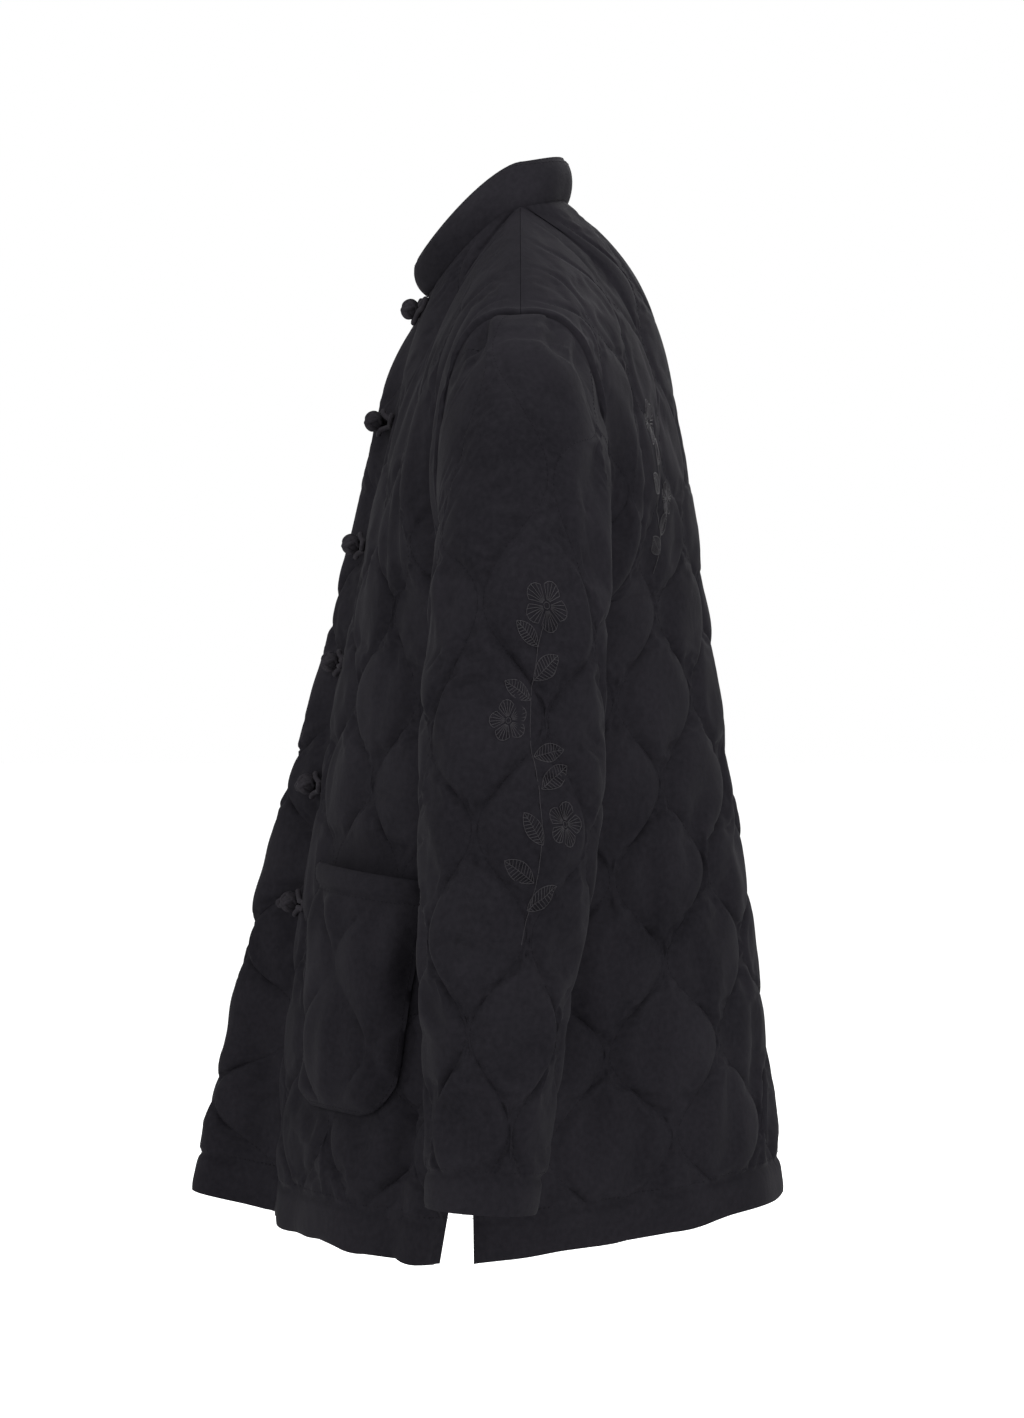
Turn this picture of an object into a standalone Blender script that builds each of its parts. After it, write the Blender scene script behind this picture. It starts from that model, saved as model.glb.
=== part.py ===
"""Quilted padded jacket with a stand collar, patch pockets, side vents and knotted cord fastenings.

Metres, +Z up. The wearer faces -Y and the wearer's left is +X. The origin is the middle of the neck,
level with the two points where the shoulder seams meet the collar.
Every cloth piece is a wall: a plain inside, and an outside that swells between the quilting lines.
"""

import math

import bmesh
import bpy
import numpy as np

# Neck, shoulder and collar
NECK_HALF_WIDTH = 0.083
NECK_SIDE_Z = 0.003
NECK_FRONT_DEPTH = 0.066
NECK_FRONT_DROP = 0.056
NECK_BACK_DEPTH = 0.033
NECK_BACK_RISE = 0.013
NECK_CURVE_POWER = 1.4
NECK_SHARE = 1 / 3          # share of a half panel's top edge that is neck; the rest is shoulder seam
SHOULDER_CROWN = 0.006
COLLAR_TOP_HALF_WIDTH = 0.062
COLLAR_TOP_SIDE_Z = 0.039
COLLAR_TOP_FRONT_DEPTH = 0.077
COLLAR_TOP_FRONT_DROP = 0.067
COLLAR_TOP_BACK_DEPTH = 0.032
COLLAR_TOP_BACK_RISE = 0.010
COLLAR_WALL = 0.004
COLLAR_THINNING = 0.25      # share of the wall lost at the top edge
COLLAR_END_GAP = 0.0015     # half the gap between the collar's two ends
COLLAR_LIFT = 0.0008        # clearance above the neck seam
COLLAR_ROWS = 4
COLLAR_BOW = 0.003

# Armhole, which lies close to an upright plane beside the body
SHOULDER_TIP_X = 0.235
SHOULDER_TIP_Z = -0.092
UNDERARM_X = 0.2325
UNDERARM_Z = -0.292
ARMHOLE_FRONT_DEPTH = 0.054
ARMHOLE_BACK_DEPTH = 0.056
ARMHOLE_INSET = 0.012
ARMHOLE_END = 0.35          # share of a panel's length, from the shoulder to the underarm
ARMHOLE_ROWS = 12

# Hem, vents and cloth
HEM_LINE = 0.96             # share of a panel's length where the hem is sewn down
VENT_TOP = 0.82
VENT_HALF_GAP = 0.0115
SEAM_GAP = 0.0003
SEAM_WALL = 0.0025
HEM_WALL = 0.0048
PUFF = 0.0065               # how far the padding swells above the sewn lines
SHOULDER_PUFF_SHARE = 0.45  # the padding is pulled flatter over the shoulders
PUFF_POWER = 0.7            # how the padding grows with the room between two lines

# Quilting: wavy lines that draw together and apart by turns
QUILT_LENGTH = 0.125
QUILT_WAVE = 0.44           # wave height as a share of the spacing of the lines
QUILT_PINCH_Z = -0.4125
WAVE_START = 0.08           # share of a panel's or a sleeve's length where the waves are full
HALF_PANEL_LINES = 6
SLEEVE_LINES = 8
SLEEVE_COLUMNS_PER_LINE = 3
SLEEVE_ROWS = 24
SLEEVE_PINCH_Z = -0.5215
BODY_ROWS_BELOW_ARM = 18

# Sections of the body, from the neck and shoulder (share 0) to the hem (share 1).
# front_* and back_* are the middle of the front and of the back. round_* is the power of the section's
# curve from the middle to the side. bulge is how far the right front stands ahead of the left.
BODY_COLUMNS = ("share", "front_y", "front_z", "back_y", "back_z", "round_front", "round_back", "bulge")
BODY_SECTIONS = (
    (0.00, -0.066, -0.053, 0.033, 0.016, 2.0, 2.0, 0.000),
    (0.07, -0.075, -0.080, 0.081, -0.036, 2.2, 2.0, 0.010),
    (0.14, -0.086, -0.121, 0.104, -0.092, 2.6, 2.2, 0.019),
    (0.21, -0.097, -0.172, 0.117, -0.158, 2.8, 2.4, 0.019),
    (0.28, -0.107, -0.224, 0.126, -0.219, 2.6, 2.4, 0.017),
    (0.35, -0.117, -0.276, 0.132, -0.274, 2.4, 2.3, 0.019),
    (0.45, -0.130, -0.345, 0.142, -0.345, 2.3, 2.2, 0.022),
    (0.63, -0.152, -0.472, 0.161, -0.474, 2.1, 2.1, 0.037),
    (0.82, -0.170, -0.610, 0.178, -0.606, 2.0, 2.0, 0.049),
    (1.00, -0.182, -0.743, 0.194, -0.731, 1.9, 1.9, 0.064),
)

BULGE_PEAK = 0.16           # share across the right front where it stands furthest ahead
BULGE_FLATNESS = 18.0       # how much flatter the right front's section is, for each metre of bulge
SECTION_STEPS = 90

# Side seam from the underarm to the hem
SIDE_COLUMNS = ("share", "x", "y", "z")
SIDE_SEAM = (
    (0.35, 0.2325, 0.000, -0.292),
    (0.45, 0.2290, -0.006, -0.360),
    (0.63, 0.2320, -0.018, -0.490),
    (0.82, 0.2420, -0.034, -0.620),
    (1.00, 0.2510, -0.044, -0.7435),
)

# Sleeve sections from just past the armhole to the cuff: the outer and inner arm lines in plan and
# height, the middle of the section front to back, its depth front to back, and the slope of its plane
SLEEVE_COLUMNS = ("share", "outer_x", "outer_z", "inner_x", "inner_z", "middle_y", "depth", "slope")
SLEEVE_SECTIONS = (
    (0.07, 0.262, -0.103, 0.2390, -0.3000, 0.001, 0.108, 0.00),
    (0.15, 0.297, -0.132, 0.2480, -0.3120, 0.001, 0.106, 0.00),
    (0.25, 0.328, -0.188, 0.2560, -0.3320, -0.001, 0.108, 0.00),
    (0.36, 0.347, -0.262, 0.2605, -0.3660, -0.004, 0.112, 0.00),
    (0.49, 0.358, -0.355, 0.2640, -0.4150, -0.006, 0.114, 0.00),
    (0.61, 0.363, -0.440, 0.2670, -0.4740, -0.009, 0.111, -0.01),
    (0.74, 0.364, -0.532, 0.2700, -0.5480, -0.016, 0.095, -0.03),
    (0.86, 0.362, -0.613, 0.2730, -0.6220, -0.020, 0.079, -0.05),
    (1.00, 0.359, -0.698, 0.2760, -0.7010, -0.027, 0.068, -0.06),
)
SLEEVE_HEM_LINE = 0.958
SLEEVE_FLAT_END = 0.12      # the sleeve head is as flat as the shoulder down to here
SLEEVE_FULL = 0.4           # and the padding is full from here

# Folds that hang from the shoulder blades: ridges (+) and troughs (-) that run down the back panel
FOLD_COLUMNS = ("across", "top", "bottom", "half_width", "height")
BACK_FOLDS = (
    (0.80, 0.10, 0.44, 0.07, 0.010),
    (0.90, 0.16, 0.42, 0.05, -0.007),
    (0.42, 0.70, 1.06, 0.12, 0.008),
)

# Patch pockets, by shares across and down the front panel, which is pressed flatter under them
POCKET_FRONT = 0.305
POCKET_SIDE = 0.757
POCKET_TOP = 0.62
POCKET_BOTTOM = 0.885
POCKET_COLUMNS = 7
POCKET_MARGIN = 0.08        # the front is pressed flatter this far past the pocket's side edge
POCKET_GROUND = 0.0045      # padding left under the pocket
POCKET_CLEARANCE = 0.0014
POCKET_ROOM = 0.013
POCKET_WALL = 0.0022
POCKET_PUFF = 0.003
POCKET_BAND = 0.15          # share of the pocket's height that is its plain top band

# Knotted cord fastenings, by their height and by how far the ball stands off the cloth
FASTENING_COLUMNS = ("z", "stand_off")
FASTENINGS = (
    (-0.066, 0.000),
    (-0.150, 0.007),
    (-0.242, 0.006),
    (-0.330, 0.005),
    (-0.422, 0.002),
    (-0.510, 0.001),
)
KNOT_RADIUS = 0.0080
CORD_RADIUS = 0.0021
CORD_PITCH = 0.0047
CORD_CLEARANCE = 0.0004
KNOT_CLEARANCE = 0.00092
LOOP_RUN = 0.030
KNOT_RUN = 0.028
CORD_SIDES = 6
CORD_STEPS = 4
KNOT_SIDES = 8
KNOT_RINGS = 7
KNOT_TIP = 0.08             # share of half a turn left open at each end of the ball
TAIL_START = 0.45           # share of the tail where it lies down on the cloth

CLOTH_COLOUR = (0.018, 0.018, 0.021)
CORD_COLOUR = (0.012, 0.012, 0.014)


def table(columns, rows):
    """The rows of a table as one array for each named column."""
    return dict(zip(columns, np.array(rows, float).T))


BODY = table(BODY_COLUMNS, BODY_SECTIONS)
SIDE = table(SIDE_COLUMNS, SIDE_SEAM)
SLEEVE = table(SLEEVE_COLUMNS, SLEEVE_SECTIONS)


def smooth(knots, values, at):
    """A smooth curve through the values at the knots."""
    slopes = np.gradient(values, knots)
    i = np.clip(np.searchsorted(knots, at, side="right") - 1, 0, len(knots) - 2)
    step = knots[i + 1] - knots[i]
    t = (at - knots[i]) / step
    return (
        values[i] * (1 + 2 * t) * (1 - t) ** 2
        + slopes[i] * step * t * (1 - t) ** 2
        + values[i + 1] * t**2 * (3 - 2 * t)
        + slopes[i + 1] * step * t**2 * (t - 1)
    )


def ease(t):
    """A soft step from 0 to 1."""
    t = np.clip(t, 0, 1)
    return t * t * (3 - 2 * t)


def unit(vectors):
    return vectors / np.maximum(np.linalg.norm(vectors, axis=-1, keepdims=True), 1e-12)


def mirrored(points):
    return points * np.array((-1.0, 1.0, 1.0))


# Seam lines


def neck_quarter(face, angle, half_width, side_z, depth, rise):
    """A quarter of a neck loop: angle 0 is the middle of the front or back, a right angle is the side."""
    across = np.cos(angle)
    sign = -1 if face == "front" else 1
    height = side_z + rise * np.maximum(across, 0) ** NECK_CURVE_POWER
    return np.stack((half_width * np.sin(angle), sign * depth * across, height), -1)


def neck_seam(face, angle):
    depth, rise = {
        "front": (NECK_FRONT_DEPTH, -NECK_FRONT_DROP),
        "back": (NECK_BACK_DEPTH, NECK_BACK_RISE),
    }[face]
    return neck_quarter(face, angle, NECK_HALF_WIDTH, NECK_SIDE_Z, depth, rise)


def collar_edge(face, angle):
    depth, rise = {
        "front": (COLLAR_TOP_FRONT_DEPTH, -COLLAR_TOP_FRONT_DROP),
        "back": (COLLAR_TOP_BACK_DEPTH, COLLAR_TOP_BACK_RISE),
    }[face]
    return neck_quarter(face, angle, COLLAR_TOP_HALF_WIDTH, COLLAR_TOP_SIDE_Z, depth, rise)


def neck_outward(face, angle):
    """The way out of the collar's wall at the neck seam."""
    sign = -1 if face == "front" else 1
    around = neck_seam(face, angle + 0.01) - neck_seam(face, angle - 0.01)
    rise = collar_edge(face, angle) - neck_seam(face, angle)
    return unit(np.cross(rise, around) * sign)


def armhole(face, turn):
    """A point on the armhole seam: turn 0 is the shoulder tip, and half a turn is the underarm."""
    depth = -ARMHOLE_FRONT_DEPTH if face == "front" else ARMHOLE_BACK_DEPTH
    down = (1 - np.cos(turn)) / 2
    return np.stack(
        (
            SHOULDER_TIP_X + (UNDERARM_X - SHOULDER_TIP_X) * down - ARMHOLE_INSET * np.sin(turn) ** 2,
            depth * np.sin(turn),
            SHOULDER_TIP_Z + (UNDERARM_Z - SHOULDER_TIP_Z) * down,
        ),
        -1,
    )


def armhole_outward(face, turn):
    """The way out of the cloth at the armhole seam, in the plane of the armhole."""
    depth = -ARMHOLE_FRONT_DEPTH if face == "front" else ARMHOLE_BACK_DEPTH
    half_height = (SHOULDER_TIP_Z - UNDERARM_Z) / 2
    forward = half_height * np.sin(turn) * np.sign(depth)
    return unit(np.stack((np.zeros_like(turn), forward, abs(depth) * np.cos(turn)), -1))


# Body panels


def panel_edge(face, share):
    """A point on the outer edge of a half panel: down the armhole, then down the side seam and vent."""
    if share <= ARMHOLE_END:
        point = armhole(face, np.array(math.pi * share / ARMHOLE_END))
        point += np.array((-1, 1 if face == "back" else -1, 0)) * SEAM_GAP / 2
        return point
    point = np.array([smooth(SIDE["share"], SIDE[axis], share) for axis in "xyz"])
    gap = SEAM_GAP / 2 + VENT_HALF_GAP * max(0.0, share - VENT_TOP) / (1 - VENT_TOP)
    point[1] += gap if face == "back" else -gap
    return point


def section_line(face, share, bulge_side=False):
    """A half panel's section as a fine line from its middle to its outer edge."""
    s = np.linspace(0, 1, SECTION_STEPS)
    edge = panel_edge(face, share)
    middle_y = smooth(BODY["share"], BODY[face + "_y"], share)
    middle_z = smooth(BODY["share"], BODY[face + "_z"], share)
    power = smooth(BODY["share"], BODY["round_" + face], share)
    if bulge_side:
        power += BULGE_FLATNESS * smooth(BODY["share"], BODY["bulge"], share)
    depth = edge[1] + (middle_y - edge[1]) * (1 - s**power)
    return np.stack((edge[0] * s, depth, middle_z + (edge[2] - middle_z) * s**2), -1)


def along(line, at):
    """Points at these shares of a line's own length, and that length."""
    lengths = np.concatenate(([0], np.cumsum(np.linalg.norm(np.diff(line, axis=0), axis=1))))
    return np.stack([np.interp(at * lengths[-1], lengths, line[:, k]) for k in range(3)], -1), lengths[-1]


def top_edge(face, across):
    """The neck seam, then the shoulder seam, at these shares of the top edge."""
    neck = neck_seam(face, np.minimum(across / NECK_SHARE, 1) * math.pi / 2)
    down = np.clip((across - NECK_SHARE) / (1 - NECK_SHARE), 0, 1)[:, None]
    start = np.array((NECK_HALF_WIDTH, 0, NECK_SIDE_Z))
    tip = np.array((SHOULDER_TIP_X - SEAM_GAP / 2, 0, SHOULDER_TIP_Z))
    crown = np.array((0, 0, SHOULDER_CROWN)) * np.sin(math.pi * down)
    shoulder = start + (tip - start) * down + crown
    points = np.where(across[:, None] <= NECK_SHARE, neck, shoulder)
    points[:, 1] += (SEAM_GAP / 2) * (1 if face == "back" else -1) * np.clip(across / NECK_SHARE, 0, 1)
    return points


def top_outward(face, across):
    """The way out of the cloth along the neck and shoulder seams."""
    neck = neck_outward(face, np.minimum(across / NECK_SHARE, 1) * math.pi / 2)
    slope = unit(np.array((NECK_SIDE_Z - SHOULDER_TIP_Z, 0, SHOULDER_TIP_X - NECK_HALF_WIDTH)))
    return np.where(across[:, None] < NECK_SHARE + 1e-6, neck, slope)


def quilt_across(shares, heights):
    """For each row and each column, its share across a half panel. Columns run line, crest, line by turns,
    and each sewn line waves the other way from the next. The waves start below the top edge."""
    wave = np.cos(2 * math.pi * (heights - QUILT_PINCH_Z) / QUILT_LENGTH)
    wave *= np.clip(shares / WAVE_START, 0, 1)
    across = np.tile(np.linspace(0, 1, 2 * HALF_PANEL_LINES + 1), (len(heights), 1))
    for line in range(HALF_PANEL_LINES):
        across[:, 2 * line + 1] += QUILT_WAVE / HALF_PANEL_LINES * wave * (-1) ** line
    return across


def body_shares():
    """The rows of a body panel, as shares of its length."""
    armhole_rows = np.linspace(0, ARMHOLE_END, ARMHOLE_ROWS + 1)
    lower_rows = np.linspace(ARMHOLE_END, HEM_LINE, BODY_ROWS_BELOW_ARM + 1)[1:]
    return np.concatenate((armhole_rows, lower_rows, ((HEM_LINE + 1) / 2, 1.0)))


def fold_heights(folds, across, share):
    """How far the folds lift the cloth at each point."""
    lift = np.zeros_like(across)
    for fold in (dict(zip(FOLD_COLUMNS, row)) for row in folds):
        side = np.exp(-(((across - fold["across"]) / fold["half_width"]) ** 2))
        run = np.clip((share - fold["top"]) / (fold["bottom"] - fold["top"]), 0, 1)
        lift += fold["height"] * side * np.sin(math.pi * run) ** 2
    return lift


def outward_normals(grid, sign, closed=False):
    """The way out at each point of a grid, from its neighbours."""
    if closed:
        across = np.roll(grid, -1, axis=1) - np.roll(grid, 1, axis=1)
    else:
        across = np.gradient(grid, axis=1)
    return sign * unit(np.cross(across, np.gradient(grid, axis=0)))


def half_panel(face, bulge_side=False):
    """The left half of a body panel: its plain inside, its quilted outside, and the shares across it."""
    shares = body_shares()
    across = quilt_across(shares, smooth(BODY["share"], BODY[face + "_z"], shares))
    top_line = section_line(face, 0.0)
    inside = np.empty(across.shape + (3,))
    for row, share in enumerate(shares):
        inside[row], _ = along(section_line(face, share, bulge_side), across[row])
        fade = max(0.0, 1 - share / ARMHOLE_END) ** 2
        inside[row] += fade * (top_edge(face, across[row]) - along(top_line, across[row])[0])
    if bulge_side:
        ahead = smooth(BODY["share"], BODY["bulge"], shares)[:, None]
        fall = ease((across - BULGE_PEAK) / (1 - BULGE_PEAK))
        inside[..., 1] -= ahead * ease(across / BULGE_PEAK) * (1 - fall)
    if face == "back":
        lift = fold_heights(BACK_FOLDS, across, shares[:, None])
        inside += lift[..., None] * outward_normals(inside, 1)
    inside[:, 0, 0] += SEAM_GAP / 2 if face == "front" else 0
    out = outward_normals(inside, 1 if face == "back" else -1)
    out[shares > ARMHOLE_END, -1] = (1, 0, 0)
    arm = shares <= ARMHOLE_END
    out[arm, -1] = armhole_outward(face, math.pi * shares[arm] / ARMHOLE_END)
    out[0, :-1] = top_outward(face, across[0])[:-1]
    if face == "front":
        out[1:, 0] = unit(out[1:, 0] * (0, 1, 1))
    wall = panel_wall(shares, across)
    if face == "front":
        over_pocket = (across > POCKET_FRONT) & (across < POCKET_SIDE + POCKET_MARGIN)
        covered = over_pocket & pocket_rows(shares)[:, None]
        wall[covered] = np.minimum(wall[covered], SEAM_WALL + POCKET_GROUND)
    return inside, inside + out * wall[..., None], out, across


def pocket_rows(shares):
    return (shares >= POCKET_TOP) & (shares <= POCKET_BOTTOM)


def panel_wall(shares, across):
    """The thickness of a half panel's wall at each point: thin on sewn lines and seams, full between."""
    wall = np.full(across.shape, SEAM_WALL)
    puff = PUFF * np.interp(shares, (0, ARMHOLE_END), (SHOULDER_PUFF_SHARE, 1))
    for column in range(2, across.shape[1] - 1, 2):
        room = (across[:, column + 1] - across[:, column - 1]) * HALF_PANEL_LINES / (1 + 2 * QUILT_WAVE)
        wall[:, column] += puff * np.clip(room, 0, 1) ** PUFF_POWER
    wall[shares > HEM_LINE - 1e-6] = SEAM_WALL
    wall[shares > HEM_LINE + 1e-6] = HEM_WALL
    wall[0] = SEAM_WALL
    return wall


# Solids


def cloth_wall(name, outside, inside, material, closed=False):
    """A closed solid between two grids of points that have the same rows and columns."""
    rows, columns = outside.shape[:2]
    points = np.concatenate((outside.reshape(-1, 3), inside.reshape(-1, 3)))
    index = np.arange(rows * columns).reshape(rows, columns)
    if closed:
        index = np.concatenate((index, index[:, :1]), axis=1)
    under = index + rows * columns
    faces = []
    for sheet, turn in ((index, 1), (under, -1)):
        one, two, three, four = sheet[:-1, :-1], sheet[1:, :-1], sheet[1:, 1:], sheet[:-1, 1:]
        for corners in ((one, two, three), (one, three, four)):
            faces += np.stack(corners[::turn], -1).reshape(-1, 3).tolist()
    borders = [(index[0], under[0]), (under[-1], index[-1])]
    if not closed:
        borders += [(under[:, 0], index[:, 0]), (index[:, -1], under[:, -1])]
    for above, below in borders:
        faces += np.stack((above[:-1], above[1:], below[1:], below[:-1]), -1).tolist()
    return solid(name, points, faces, material)


def solid(name, points, faces, material):
    mesh = bpy.data.meshes.new(name)
    mesh.from_pydata(points.tolist(), [], faces)
    made = bmesh.new()
    made.from_mesh(mesh)
    bmesh.ops.recalc_face_normals(made, faces=made.faces)
    made.to_mesh(mesh)
    made.free()
    mesh.shade_smooth()
    mesh.materials.append(material)
    obj = bpy.data.objects.new(name, mesh)
    bpy.context.collection.objects.link(obj)
    return obj


def cloth_material(name, colour, roughness):
    material = bpy.data.materials.new(name)
    material.use_nodes = True
    shader = material.node_tree.nodes["Principled BSDF"]
    shader.inputs["Base Color"].default_value = (*colour, 1)
    shader.inputs["Roughness"].default_value = roughness
    shader.inputs["Metallic"].default_value = 0
    return material


def make_back(material):
    inside, outside, _, _ = half_panel("back")
    whole = [np.concatenate((mirrored(grid[:, :0:-1]), grid), axis=1) for grid in (outside, inside)]
    cloth_wall("back", *whole, material)


def front_panel(side):
    """The inside, outside, outward directions and shares across of one front, in its own place."""
    inside, outside, out, across = half_panel("front", bulge_side=side == "right")
    if side == "right":
        inside, outside, out = mirrored(inside), mirrored(outside), mirrored(out)
    return inside, outside, out, across


def make_pocket(side, panel, material):
    """A patch pocket made from the front's own points, moved out, with room inside and an open top."""
    panel_inside, _, out, panel_across = panel
    across = np.linspace(POCKET_FRONT, POCKET_SIDE, POCKET_COLUMNS)
    ground, away = [], []
    for row in np.flatnonzero(pocket_rows(body_shares())):
        for grid, found in ((panel_inside, ground), (out, away)):
            axes = [np.interp(across, panel_across[row], grid[row, :, k]) for k in range(3)]
            found.append(np.stack(axes, -1))
    ground, away = np.array(ground), unit(np.array(away))
    down = np.linspace(0, 1, ground.shape[0])[:, None]
    over = np.linspace(-1, 1, POCKET_COLUMNS)[None, :]
    lift = SEAM_WALL + POCKET_GROUND + POCKET_CLEARANCE
    room = POCKET_ROOM * (1 - over**2) * np.sqrt(1 - down**2)
    below_band = np.clip((down - POCKET_BAND) / (1 - POCKET_BAND), 0, 1)
    puff = POCKET_PUFF * (1 - over**4) * np.sqrt(np.sin(math.pi * below_band))
    inside = ground + away * (lift + room)[..., None]
    outside = inside + away * (POCKET_WALL + puff)[..., None]
    cloth_wall("pocket_" + side, outside, inside, material)


def make_collar(material):
    """A stand collar: a band from the neck seam up to its top edge, open at the middle of the front."""
    quarter = np.linspace(0, math.pi / 2, 2 * HALF_PANEL_LINES // 3 + 1)
    rise = np.linspace(0, 1, COLLAR_ROWS)[:, None, None]
    insides, outsides = [], []
    for face, angles in (("front", quarter), ("back", quarter[-2::-1])):
        low = neck_seam(face, angles)
        high = collar_edge(face, angles)
        away = neck_outward(face, angles)
        up = unit(high - low)
        bow = away * COLLAR_BOW * np.sin(math.pi * rise)
        inside = low + up * COLLAR_LIFT + (high - low) * rise + bow
        insides.append(inside)
        outsides.append(inside + away * COLLAR_WALL * (1 - COLLAR_THINNING * rise))
    half = [np.concatenate(grids, axis=1) for grids in (outsides, insides)]
    for grid in half:
        grid[:, 0, 0] += COLLAR_END_GAP
    whole = [np.concatenate((grid, mirrored(grid[:, -2::-1])), axis=1) for grid in half]
    cloth_wall("collar", *whole, material)


def sleeve_ring(share, turns):
    """Points round a sleeve section: turn 0 is the outer arm line, half a turn the inner arm line,
    and the back of the arm lies between them."""
    start = SLEEVE["share"][0]
    at = max(share, start)
    value = {name: smooth(SLEEVE["share"], SLEEVE[name], at) for name in SLEEVE_COLUMNS[1:]}
    outer = np.array((value["outer_x"], value["middle_y"], value["outer_z"]))
    inner = np.array((value["inner_x"], value["middle_y"], value["inner_z"]))
    deep = value["depth"] / 2 * np.sin(turns)
    ring = (outer + inner) / 2 + (outer - inner) / 2 * np.cos(turns)[:, None]
    ring[:, 1] += deep
    ring[:, 2] += value["slope"] * deep
    if share >= start:
        return ring
    is_back = (np.sin(turns) >= 0)[:, None]
    seam = np.where(is_back, armhole("back", turns), armhole("front", 2 * math.pi - turns))
    seam[:, 0] += SEAM_GAP / 2
    blend = share / start
    return seam + (ring - seam) * blend


def make_sleeve(side, material):
    """A one-piece sleeve: a quilted tube from the armhole seam to a plain sewn cuff hem."""
    columns = SLEEVE_LINES * SLEEVE_COLUMNS_PER_LINE
    hem_rows = ((SLEEVE_HEM_LINE + 1) / 2, 1.0)
    shares = np.concatenate((np.linspace(0, SLEEVE_HEM_LINE, SLEEVE_ROWS - 1), hem_rows))
    inside = np.empty((len(shares), columns, 3))
    wall = np.full(inside.shape[:2], SEAM_WALL)
    for row, share in enumerate(shares):
        turns, room = sleeve_columns(share)
        inside[row] = sleeve_ring(share, turns)
        puff = PUFF * np.interp(share, (0, SLEEVE_FLAT_END, SLEEVE_FULL), (0, SHOULDER_PUFF_SHARE, 1))
        wall[row] += puff * room
    wall[-3] = SEAM_WALL
    wall[-2:] = HEM_WALL
    out = outward_normals(inside, -1, closed=True)
    turns, _ = sleeve_columns(0)
    faces = ("back", turns), ("front", 2 * math.pi - turns)
    back_out, front_out = (armhole_outward(face, turn) for face, turn in faces)
    out[0] = np.where((np.sin(turns) >= 0)[:, None], back_out, front_out)
    outside = inside + out * wall[..., None]
    if side == "right":
        inside, outside = mirrored(inside), mirrored(outside)
    cloth_wall("sleeve_" + side, outside, inside, material, closed=True)


def sleeve_columns(share):
    """The turns of a sleeve section's columns, and how full the padding is at each: none on a sewn line."""
    per_line = SLEEVE_COLUMNS_PER_LINE
    line_step = 2 * math.pi / SLEEVE_LINES
    z = smooth(SLEEVE["share"], (SLEEVE["outer_z"] + SLEEVE["inner_z"]) / 2, max(share, SLEEVE["share"][0]))
    wave = np.cos(2 * math.pi * (z - SLEEVE_PINCH_Z) / QUILT_LENGTH) * np.clip(share / WAVE_START, 0, 1)
    lines = np.arange(SLEEVE_LINES + 1)
    sewn = line_step * (lines + QUILT_WAVE * wave * (-1.0) ** lines)
    turns, room = [], []
    for line in range(SLEEVE_LINES):
        width = sewn[line + 1] - sewn[line]
        turns += [sewn[line] + width * k / per_line for k in range(per_line)]
        full = np.clip(width / line_step / (1 + 2 * QUILT_WAVE), 0, 1) ** PUFF_POWER
        room += [0] + [full] * (per_line - 1)
    return np.array(turns), np.array(room)


# Knotted cord fastenings


def on_panel(panel, z, run):
    """A point on the outer facets of a front at this height and this far from its edge, and the way out."""
    _, outside, out, across = panel
    row = int(np.clip(np.searchsorted(-outside[:, 0, 2], -z) - 1, 0, len(outside) - 2))
    t = (outside[row, 0, 2] - z) / (outside[row, 0, 2] - outside[row + 1, 0, 2])
    found = []
    for grid in (outside, out):
        ends = []
        for r in (row, row + 1):
            _, length = along(outside[r], np.array([0.0]))
            share = np.array([run / length])
            ends.append([np.interp(share, across[r], grid[r, :, k])[0] for k in range(3)])
        found.append(np.array(ends[0]) * (1 - t) + np.array(ends[1]) * t)
    return found[0], unit(found[1])


def tube(name, path, ups, widths, heights, sides, material):
    """A closed tube along a path, with its own width and height at each point and closed ends."""
    path, ups = np.array(path), unit(np.array(ups))
    ahead = unit(np.gradient(path, axis=0))
    side_ways = unit(np.cross(ahead, ups))
    ups = np.cross(side_ways, ahead)
    turn = np.linspace(0, 2 * math.pi, sides, endpoint=False)
    rings = (
        path[:, None]
        + side_ways[:, None] * (np.cos(turn) * np.array(widths)[:, None])[..., None]
        + ups[:, None] * (np.sin(turn) * np.array(heights)[:, None])[..., None]
    )
    points = np.concatenate((rings.reshape(-1, 3), path[:1], path[-1:]))
    faces = []
    for r in range(len(path) - 1):
        for c in range(sides):
            n = (c + 1) % sides
            faces.append((r * sides + c, r * sides + n, (r + 1) * sides + n, (r + 1) * sides + c))
    first, last, end = len(points) - 2, len(points) - 1, (len(path) - 1) * sides
    for c in range(sides):
        n = (c + 1) % sides
        faces.append((first, n, c))
        faces.append((last, end + c, end + n))
    return solid(name, points, faces, material)


def make_knot(number, z, stand_off, panel, material):
    """A ball knot in front of the opening, and the flat doubled cord that sews it to the right front."""
    edge, away = on_panel(panel, z, 0.0)
    beside, _ = on_panel(panel, z, KNOT_RADIUS)
    raised = KNOT_CLEARANCE + max(stand_off, np.dot(beside - edge, away))
    centre = edge + away * (KNOT_RADIUS + raised)
    path, ups, widths, heights = [], [], [], []
    for step in np.linspace(KNOT_TIP, 1 - KNOT_TIP, KNOT_RINGS):
        angle = math.pi * step
        path.append(centre - np.array((math.cos(angle), 0, 0)) * -KNOT_RADIUS)
        widths.append(KNOT_RADIUS * math.sin(angle))
        ups.append(away)
    heights += widths
    for run in np.linspace(TAIL_START * KNOT_RUN, KNOT_RUN, CORD_STEPS):
        point, out = on_panel(panel, z, run)
        path.append(point + out * (CORD_RADIUS + KNOT_CLEARANCE))
        ups.append(out)
        widths.append(CORD_PITCH / 2 + CORD_RADIUS)
        heights.append(CORD_RADIUS)
    tube(f"knot_{number}", path, ups, widths, heights, KNOT_SIDES, material)


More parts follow.
